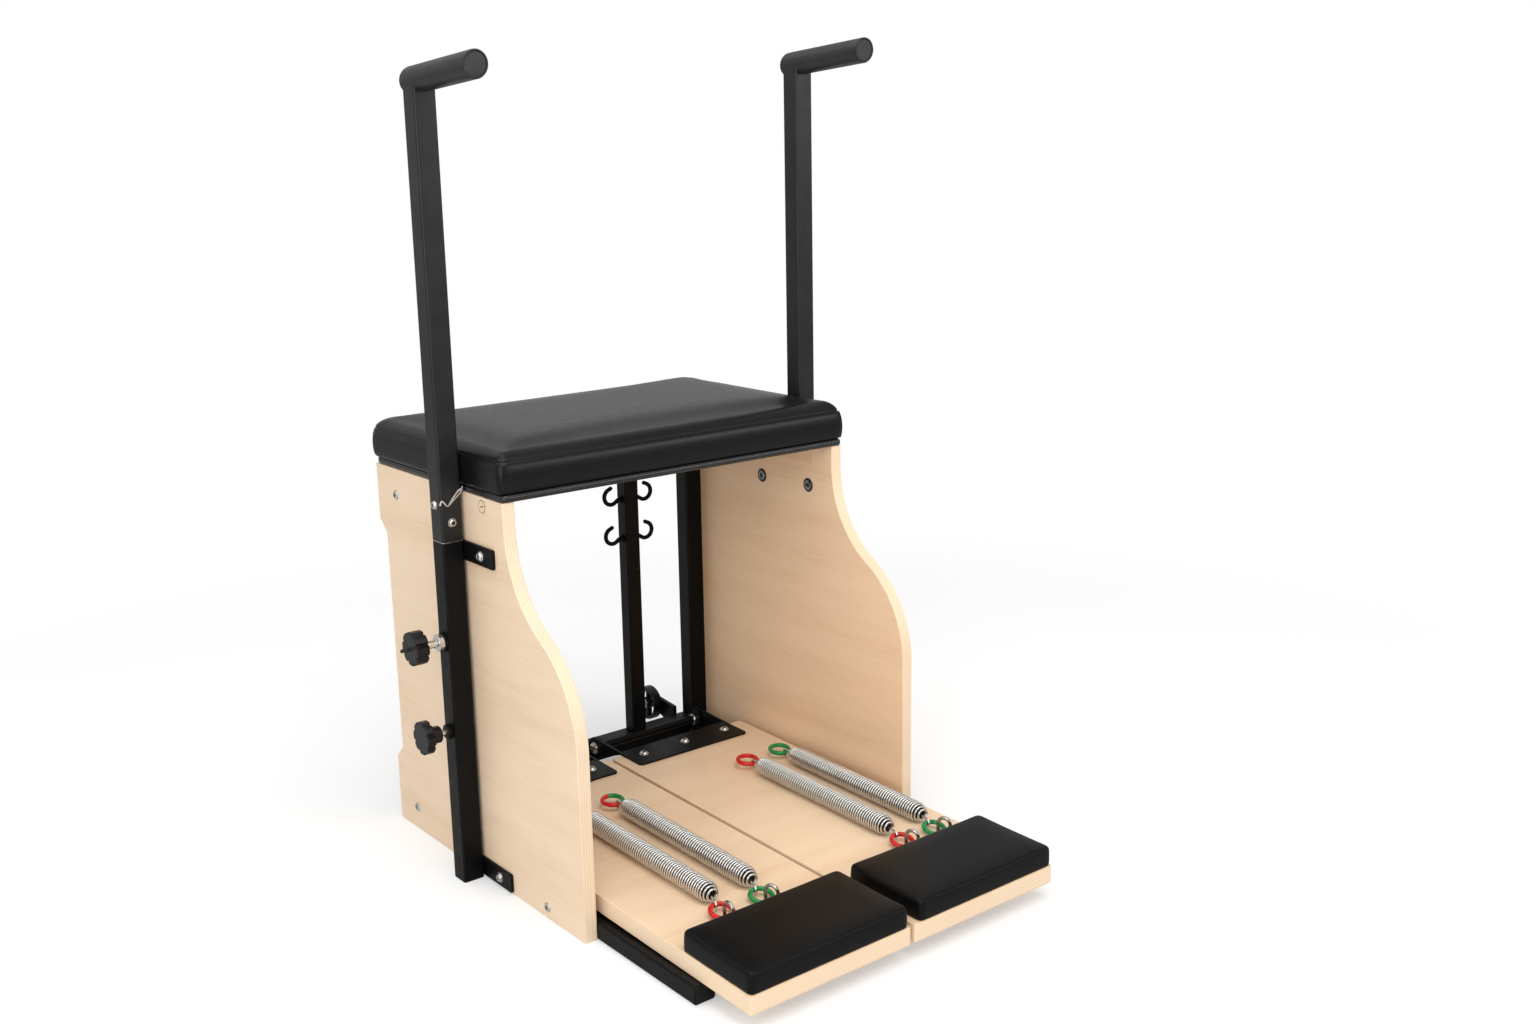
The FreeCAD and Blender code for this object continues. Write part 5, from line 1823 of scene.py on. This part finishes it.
@dataclass(frozen=True)
class Pedal:
    """Pedal of one side: board, foam pad, hinge bracket and its bolts."""

    side: Side
    inner: float = 3.0
    outer: float = 250.0
    front: float = -294.0
    rear: float = 365.0
    corner: float = 4.0
    edge: float = 1.2
    pad_inset: float = 0.8
    pad_margin: float = 5.0
    pad_lean: float = 3.0
    pad_depth: float = 131.0
    pad_radii: tuple[float, ...] = (5.0, 5.0, 5.0, 5.0)
    pad_band: Profile = (
        (1.6, 0.0), (0.6, 0.8), (0.3, 3.0), (0.2, 8.0), (0.2, 15.0), (0.3, 20.6), (0.5, 23.4), (1.2, 25.3),
        (2.5, 26.4), (4.6, 26.9),
    )
    pad_crown: float = 0.5
    pad_shoulder: float = 6.0
    pad_reach: float = 40.0
    pad_pressure: float = 2.0
    pad_cap: float = 1.3
    pad_fill: float = 0.95
    columns: int = 48
    rows: int = 25
    bracket: Pair = (20.0, 223.0)
    flange: Pair = (312.0, 372.0)
    flange_radii: tuple[float, ...] = (6.0, 6.0, 1.0, 1.0)
    flange_edge: float = 0.6
    thickness: float = 3.0
    ear_front: float = 350.0
    ear_radius: float = 17.0
    ear_thickness: float = 4.0
    ear_edge: float = 0.5
    bolt_places: tuple[float, ...] = (47.0, 124.0, 201.0)
    bolt_line: float = 343.0

    def build(self) -> None:
        """Makes the board, the inflated pad, the bracket and its bolts."""
        word = self.side.word
        rider = f"pedal_{word}"
        outline = rounded_loop((self.inner, self.front), (self.outer, self.rear), self.corner)
        board = plate(outline, REST.board_bottom, REST.board_top, self.edge, Axis.Z)
        dress(f"pedal_board_{word}", self.laid(board), BOARD_PLY, rider)
        self.pad(f"pedal_pad_{word}", rider)
        top = REST.board_top + self.thickness
        flange = rounded_loop(*zip(self.bracket, self.flange), self.flange_radii)
        pieces = [plate(flange, REST.board_top, top, self.flange_edge, Axis.Z)]
        ear = self.ear_outline(top)
        for start in (self.bracket[0], self.bracket[1] - self.ear_thickness):
            pieces.append(plate(ear, start, start + self.ear_thickness, self.ear_edge, Axis.X))
        dress(f"hinge_bracket_{word}", self.laid(join(pieces)), BLACK_COAT, rider)
        seats = [(x, self.bolt_line, top) for x in self.bolt_places]
        add_bolts(f"bracket_bolts_{word}", SocketBolt(), seats, Axis.Z, 1.0, rider, self.laid)

    def laid(self, shell: Shell) -> Shell:
        """A piece of the level right pedal, sloped and put on its side."""
        return shell.mapped(REST.lowered).mirrored(self.side)

    def ear_outline(self, top: float) -> Array:
        """Ear's outline: from the flange along straight sides to a round end about the pivot.

        Args:
            top: height of the flange's upper face.

        Returns:
            Closed outline in Y and Z.
        """
        end = arc(PIVOT, self.ear_radius, -90.0, 90.0, 22)
        start = np.array([(self.rear + self.thickness, REST.board_top)])
        rest = np.array([(self.ear_front, top), (self.ear_front, REST.board_top)])
        return np.concatenate([start, end, rest])

    def pad(self, node: str, rider: str) -> None:
        """Makes the foam pad: a short wall, a round upper edge and a slightly crowned top.

        Args:
            node: packed pad that it stands for.
            rider: body of the pedal.
        """
        side = self.inner + self.pad_margin + self.side.value * self.pad_lean + self.pad_inset
        front = self.front + self.pad_inset
        corners = (side, front), (self.outer - self.pad_inset, front + self.pad_depth)
        plan = RoundedPlan(*corners, self.pad_radii, self.columns, self.rows)
        shape = (self.pad_crown, self.pad_shoulder, self.pad_reach)
        stuffing = (self.pad_pressure, self.pad_cap)
        padding = Padding(plan, REST.board_top, self.pad_band, *shape, (0, 1), *stuffing)
        make_cover(node, self.laid(padding.inflated(node)), PAD_FOAM, rider)


@dataclass(frozen=True)
class Spring:
    """Close-wound spring lying on a pedal, with coated rings, end hooks and the staple that holds it."""

    place: SpringPlace
    radius: float = 14.0
    wire_radius: float = 1.5
    turns: int = 62
    turn_points: int = 18
    front_turns: float = 3.4
    front_share: float = 0.52
    rear_turns: float = 4.6
    rear_share: float = 0.30
    coil_ends: Pair = (-102.04, 190.54)
    clearance: float = 0.3
    inner_shade_front: Profile = ((4.0, 3.4), (4.3, 4.6), (9.0, 7.8), (14.0, 10.925), (17.0, 11.5))
    inner_shade_rear: Profile = ((16.0, 11.5), (9.0, 8.625), (5.0, 3.45))
    ring_radius: float = 14.2
    ring_wire: float = 3.2
    ring_front: float = -141.4
    rest_clearance: float = 0.35
    front_tilt: float = 12.0
    rear_ring_front: float = 203.74
    rear_drop: float = 4.5
    rear_tilt: float = 4.0
    hook_wire: float = 1.6
    hook_gap: float = 0.1
    hook_depth: float = 14.0
    staple_wire: float = 2.4
    staple_radius: float = 8.5
    staple_leg: float = 15.0
    staple_turn: float = 25.0
    staple_foot: Profile = ((-0.2, 4.2), (0.5, 4.2), (1.0, 3.6))
    crease: float = 60.0

    @property
    def ends(self) -> Pair:
        """Y of the coil's front and rear ends."""
        return self.coil_ends[0], self.coil_ends[1] - self.place.value[2]

    @property
    def axis_height(self) -> float:
        """Height of the coil's axis over the level pedal."""
        return REST.board_top + self.radius + self.clearance

    @property
    def ring_low(self) -> float:
        """Height of a ring's resting wire over the level pedal."""
        return REST.board_top + self.ring_wire + self.rest_clearance

    def laid(self, shell: Shell) -> Shell:
        """A piece made over the level pedal on the spring's own axis, in its place."""
        return shell.moved(self.place.value[0] * X_WAY).mapped(REST.lowered)

    def build(self) -> None:
        """Makes the coil, both rings, both hooks and the staple."""
        word = self.place.word
        rider = f"spring_{word}"
        shading = (self.crease, False)
        _, shift, cut = self.place.value
        start, end = self.ends
        tilt = math.radians(self.front_tilt)
        across = 2 * self.ring_radius
        far_wire = (self.ring_front + across * math.cos(tilt), self.ring_low + across * math.sin(tilt))
        near_wire = (self.rear_ring_front - cut, self.axis_height - self.rear_drop)
        hooks = join([self.hook(start, far_wire, shift), self.hook(end, near_wire, 0.0)])
        front_ring = self.ring(self.ring_front, self.ring_low, self.front_tilt).moved(shift * X_WAY)
        rear_ring = self.ring(*near_wire, self.rear_tilt)
        dip = RED_DIP if "red" in word else GREEN_DIP
        rear_dip = TWO_TONE_DIP if self.place is SpringPlace.LEFT_GREEN else dip
        dress(f"spring_coil_{word}", self.laid(self.coil()), SPRING_NICKEL, rider, *shading)
        # The dark bar inside the coil is painted shade between the turns.
        make_piece(f"spring_core_{word}", self.laid(self.core()), SPRING_SHADE, rider, (), *shading)
        make_piece(f"spring_hooks_{word}", self.laid(hooks), NICKEL, rider, (), *shading)
        dress(f"spring_ring_front_{word}", self.laid(front_ring), dip, rider, *shading)
        dress(f"spring_ring_rear_{word}", self.laid(rear_ring), rear_dip, rider, *shading)
        carrier = f"pedal_{self.place.side.word}"
        dress(f"spring_staple_{word}", self.laid(self.staple()), STAPLE_STEEL, carrier, *shading)

    def coil(self) -> Shell:
        """Helix with Y even along it: front turns step in to an open end, rear ones round off like a dome.

        Returns:
            The wound wire.
        """
        start, end = self.ends
        t = np.linspace(0, self.turns, self.turns * self.turn_points + 1)
        front = np.clip(t / self.front_turns, 0, 1)
        rear = 1 - np.clip((self.turns - t) / self.rear_turns, 0, 1)
        share = self.front_share + (1 - self.front_share) * np.sin(front * np.pi / 2)
        share = share * np.sqrt(1 - (1 - self.rear_share**2) * rear**2)
        radius = (self.radius - self.wire_radius) * share
        a = 2 * np.pi * t
        radial = np.stack([np.cos(a), np.zeros_like(a), np.sin(a)], axis=-1)
        path = radius[:, None] * radial
        path[:, 1] = start + self.wire_radius + (end - start - 2 * self.wire_radius) * t / self.turns
        path[:, 2] += self.axis_height
        return wire(path, self.wire_radius, radial, 8)

    def core(self) -> Shell:
        """Dark bar inside the coil, painted shade seen between the turns, turned so that it rounds off at
        both ends.

        Returns:
            The bar.
        """
        start, end = self.ends
        profile = [(start + d, r) for d, r in self.inner_shade_front] + [(end - d, r) for d, r in self.inner_shade_rear]
        return turned(profile, (0.0, self.axis_height), Axis.Y)

    def hook(self, coil_end: float, ring_wire: Pair, shift: float) -> Shell:
        """Hook out of the coil's bore: a straight run on a tangent to the ring's wire, and then round it.

        Args:
            coil_end: Y of the coil's end.
            ring_wire: Y and height of the ring's wire.
            shift: X of the ring, reached evenly along the run.

        Returns:
            The hook.
        """
        way = math.copysign(1.0, ring_wire[0] - coil_end)
        loop = self.ring_wire + self.hook_wire + self.hook_gap
        inside = coil_end - way * self.hook_depth
        reach, fall = (ring_wire[0] - inside) * way, ring_wire[1] - self.axis_height
        distance = math.hypot(reach, fall)
        heading = math.degrees(math.atan2(fall, reach) + math.asin(loop / distance))
        moves = [(math.sqrt(distance**2 - loop**2), 0.0), (loop, -270.0)]
        along, height = bent((0.0, self.axis_height), heading, moves).T
        path = stand(shift * along / reach, height, inside + way * along, Axis.Y)
        return wire(path, self.hook_wire, X_WAY, 10)

    def ring(self, front: float, height: float, degrees: float) -> Shell:
        """Ring tilted about its front wire: a circle in the plane of X and the tilted Y.

        Args:
            front: Y of the ring's front wire.
            height: height of that wire.
            degrees: angle at which the ring rises rearward.

        Returns:
            The round ring.
        """
        tilt = math.radians(degrees)
        lean = np.array([0.0, math.cos(tilt), math.sin(tilt)])
        a = angles(64)[:, None]
        centre = np.array([0.0, front, height]) + lean * self.ring_radius
        path = centre + self.ring_radius * (np.cos(a) * X_WAY + np.sin(a) * lean)
        return wire(path, self.ring_wire, np.cross(X_WAY, lean), 16, closed=True)

    def staple(self) -> Shell:
        """Arched staple on two round feet, turned to stand square over the front ring's wire.

        Returns:
            The staple.
        """
        r = self.staple_radius
        turn = 0.0 if self.place is SpringPlace.LEFT_RED else math.radians(self.staple_turn)
        y, z = bent((-r, 0.0), 90.0, [(self.staple_leg, 0.0), (r, -180.0), (self.staple_leg, 0.0)]).T
        pieces = [wire(stand(y, z, 0.0, Axis.X), self.staple_wire, X_WAY, 14)]
        pieces += [turned(self.staple_foot, (0.0, foot), Axis.Z, 24) for foot in (-r, r)]
        across = np.array([math.cos(turn), math.sin(turn), 0.0])
        spot = np.array([self.place.value[1], self.ring_front + self.ring_radius, REST.board_top])
        spot = spot + self.ring_radius * np.array([math.sin(turn), -math.cos(turn), 0.0])
        ways = np.stack([across, np.cross(Z_WAY, across), Z_WAY])
        return join(pieces).mapped(lambda points: points @ ways + spot)


@dataclass(frozen=True)
class TransportWheel:
    """Open transport wheel of one side and the arm that carries it."""

    side: Side
    radius: float = 28.0
    rim: float = 5.0
    rim_corner: float = 2.6
    width: float = 17.0
    hub: float = 10.0
    hub_bore: float = 5.1
    hub_corner: float = 1.2
    spokes: int = 4
    spoke: Pair = (9.0, 6.0)
    spoke_corner: float = 1.6
    centre: Pair = (558.0, 46.5)
    middle: float = 205.0
    gap: float = 0.4
    bolt: SocketBolt = SocketBolt(head_radius=6.4, head_height=2.8, socket=2.8, washer_radius=7.8, washer=1.1)
    axle: float = 4.95
    arm_radius: float = 11.0
    arm_rise: float = 12.0
    arm_low: float = 3.0
    arm_thickness: float = 7.0
    arm_edge: float = 0.9

    def build(self) -> None:
        """Makes the wheel and its arm with the axle."""
        word = self.side.word
        dress(f"wheel_{word}", self.wheel().mirrored(self.side), WHEEL_PLASTIC, f"wheel_{word}")
        dress(f"wheel_arm_{word}", self.arm().mirrored(self.side), BLACK_COAT)
        seats = [(self.middle - self.width / 2 - self.gap, *self.centre)]
        add_bolts(
            f"wheel_bolt_{word}", self.bolt, seats, Axis.X, -1.0, "frame",
            lambda shell: shell.mirrored(self.side),
        )

    def wheel(self) -> Shell:
        """Rim and hub as rounded sections carried round the axle, with straight spokes between them.

        Returns:
            The wheel.
        """
        a = angles(72)[:, None]
        half = self.width / 2
        inside = self.radius - self.rim
        rings = ((inside, self.radius, self.rim_corner), (self.hub_bore, self.hub, self.hub_corner))
        pieces = []
        for inner, outer, corner in rings:
            x, r = rounded_loop((self.middle - half, inner), (self.middle + half, outer), corner).T
            rows = stand(self.centre[0] + r * np.cos(a), self.centre[1] + r * np.sin(a), x, Axis.X)
            pieces.append(loft(rows, ring=True))
        size = np.array(self.spoke) / 2
        middle = np.array([self.middle, 0.0])
        x, off = rounded_loop(middle - size, middle + size, self.spoke_corner).T
        along = np.array([self.hub - 1.5, inside + 1.0])[:, None]
        for turn in angles(self.spokes):
            y = self.centre[0] + along * math.cos(turn) - off * math.sin(turn)
            z = self.centre[1] + along * math.sin(turn) + off * math.cos(turn)
            pieces.append(loft(stand(y, z, x, Axis.X)))
        return join(pieces)

    def arm(self) -> Shell:
        """Arm's plate, from the cross tube's rear face to a round end about the axle, with the axle.

        Returns:
            The arm and the axle.
        """
        post_low, post_high = extent("rear_post_right")
        start, high = post_high[1], post_low[2] + self.arm_rise
        low = extent("rear_cross_tube")[0][2] + self.arm_low
        x = self.middle + self.width / 2 + self.gap
        nose = arc(self.centre, self.arm_radius, -90.0, 90.0, 18)
        outline = np.concatenate([np.array([(start, low)]), nose, np.array([(start, high)])])
        ends = (self.middle - self.width / 2 - self.gap - 0.2, x + 1.0)
        axle = turned([(end, self.axle) for end in ends], self.centre, Axis.X)
        return join([plate(outline, x, x + self.arm_thickness, self.arm_edge, Axis.X), axle])


def faced(right: Array, up: Array, back: Array, place: Sequence[float]) -> Matrix:
    """Matrix of a camera or lamp at a place, from its right, its up and the way behind it."""
    columns = np.stack([right, up, back, np.array(place)], axis=-1)
    return Matrix([*columns.tolist(), [0.0, 0.0, 0.0, 1.0]])


@dataclass(frozen=True)
class Lamp:
    """Rectangular soft lamp: place, target, width and height in metres, power in watts."""

    name: str
    place: Triple
    target: Triple
    size: Pair
    power: float

    def build(self) -> None:
        """Adds the lamp, turned to its target."""
        data = bpy.data.lights.new(self.name, "AREA")
        data.shape = "RECTANGLE"
        data.size, data.size_y = self.size
        data.energy = self.power
        back = np.array(self.place) - np.array(self.target)
        back = back / np.linalg.norm(back)
        side = np.cross(Z_WAY, back)
        side = side / np.linalg.norm(side)
        put(self.name, data).matrix_world = faced(side, np.cross(back, side), back, self.place)


@dataclass(frozen=True)
class Studio:
    """Pale floor, soft lamps, white surroundings and the camera."""

    place: Triple = (-1.2092, -1.67846, 0.9683)
    yaw: float = -38.773
    pitch: float = -13.30
    roll: float = -0.918
    focal: float = 1571.1
    frame_width: float = 1536.0
    sensor: float = 36.0
    lamps: tuple[Lamp, ...] = (
        Lamp("front", (-2.2, -2.0, 1.3), (0.0, 0.0, 0.3), (2.0, 2.0), 34.0),
        Lamp("key", (-0.1, -1.5, 3.1), (0.0, -0.1, 0.2), (2.4, 2.4), 51.0),
        Lamp("left", (-3.0, -0.6, 1.9), (0.0, 0.0, 0.4), (2.2, 2.2), 8.0),
        Lamp("right", (1.75, -2.5, 1.3), (0.0, -0.2, 0.6), (1.4, 0.5), 11.0),
        Lamp("top", (-0.8, 0.7, 3.1), (0.0, 0.0, 0.3), (2.6, 2.6), 30.0),
    )
    ambient: float = 0.57
    mirrored: float = 0.55
    floor_half: float = 9.0
    floor_tone: float = 0.62
    floor_vary: float = 0.005
    floor_glow: float = 0.33
    floor_bounce: float = 0.82
    fade: Pair = (1.1, 1.9)

    def build(self) -> None:
        """Makes the camera, the lamps, the surroundings and the floor."""
        self.camera()
        for lamp in self.lamps:
            lamp.build()
        self.surroundings()
        self.floor()
        bpy.context.scene.view_settings.view_transform = "Standard"

    def camera(self) -> None:
        """Places the camera: yaw about Z, pitch about its right, roll about its view."""
        yaw, pitch, roll = (math.radians(a) for a in (self.yaw, self.pitch, self.roll))
        ahead = np.array([-math.sin(yaw) * math.cos(pitch), math.cos(yaw) * math.cos(pitch), math.sin(pitch)])
        level = np.array([math.cos(yaw), math.sin(yaw), 0.0])
        up = np.cross(level, ahead)
        right = math.cos(roll) * level + math.sin(roll) * up
        upright = -math.sin(roll) * level + math.cos(roll) * up
        data = bpy.data.cameras.new("camera")
        data.sensor_fit = "HORIZONTAL"
        data.sensor_width = self.sensor
        data.lens = self.focal / self.frame_width * self.sensor
        camera = put("camera", data)
        camera.matrix_world = faced(right, upright, -ahead, self.place)
        bpy.context.scene.camera = camera

    def surroundings(self) -> None:
        """Sets white surroundings for what is seen, mirrored or seen through, and softer light otherwise."""
        world = bpy.data.worlds.new("studio")
        bpy.context.scene.world = world
        sheet = NodeSheet(world)
        path = sheet.add("LightPath").outputs
        strength = self.ambient
        levels = {"Is Camera Ray": 1.0, "Is Transmission Ray": 1.0, "Is Glossy Ray": self.mirrored}
        for name, level in levels.items():
            step = {0: path[name], 1: level - self.ambient, 2: strength}
            strength = sheet.add("Math", step, operation="MULTIPLY_ADD").outputs[0]
        back = sheet.add("Background", {"Color": (1.0, 1.0, 1.0, 1.0), "Strength": strength})
        sheet.add("OutputWorld", {"Surface": back.outputs[0]})

    def floor(self) -> None:
        """Makes the floor: pale and shaded near the chair, and plain white further off for what is seen."""
        side = np.linspace(-self.floor_half, self.floor_half, 5)
        points = stand(side, side[:, None], 0.0, Axis.Z)
        mesh = bpy.data.meshes.new("floor")
        mesh.from_pydata(points.reshape(-1, 3).tolist(), [], grid_quads(np.arange(25).reshape(5, 5)).tolist())
        sheet = NodeSheet(bpy.data.materials.new("floor"))
        place = sheet.add("TexCoord").outputs["Object"]
        far = sheet.add("VectorMath", {0: place}, operation="LENGTH").outputs["Value"]
        fade = {0: far, 1: self.fade[0], 2: self.fade[1]}
        share = sheet.add("MapRange", fade, interpolation_type="SMOOTHSTEP").outputs[0]
        path = sheet.add("LightPath").outputs
        seen = sheet.sums("MAXIMUM", path["Is Camera Ray"], path["Is Transmission Ray"])
        tones = (self.floor_tone - self.floor_vary, self.floor_tone + self.floor_vary)
        tone = sheet.ramp(sheet.noise(place, 3.0, 2.0), list(zip((0.3, 0.7), tones)))
        pale = sheet.add("BsdfDiffuse", {"Color": tone}).outputs[0]
        glow = sheet.add("Emission", {"Strength": self.floor_glow}).outputs[0]
        near = sheet.add("AddShader", {0: pale, 1: glow}).outputs[0]
        white = sheet.add("Emission", {"Strength": 1.0}).outputs[0]
        shown = sheet.add("MixShader", {0: share, 1: near, 2: white}).outputs[0]
        bounce = sheet.ramp(path["Is Glossy Ray"], [(0.0, self.floor_bounce), (1.0, self.mirrored)])
        plain = sheet.add("BsdfDiffuse", {"Color": bounce}).outputs[0]
        surface = sheet.add("MixShader", {0: seen, 1: plain, 2: shown}).outputs[0]
        sheet.add("OutputMaterial", {"Surface": surface})
        mesh.materials.append(sheet.owner)
        put("floor", mesh)


def main() -> None:
    """Builds every sub-assembly in order, then the studio."""
    logging.basicConfig(level=logging.INFO, format="%(name)s: %(message)s")
    Carcass().build()
    Seat().build()
    RearFrame().build()
    for side in Side:
        Handle(side).build()
        LockKnobs(side).build()
        Pedal(side).build()
        TransportWheel(side).build()
    for place in SpringPlace:
        Spring(place).build()
    Studio().build()


if __name__ == "__main__":
    main()
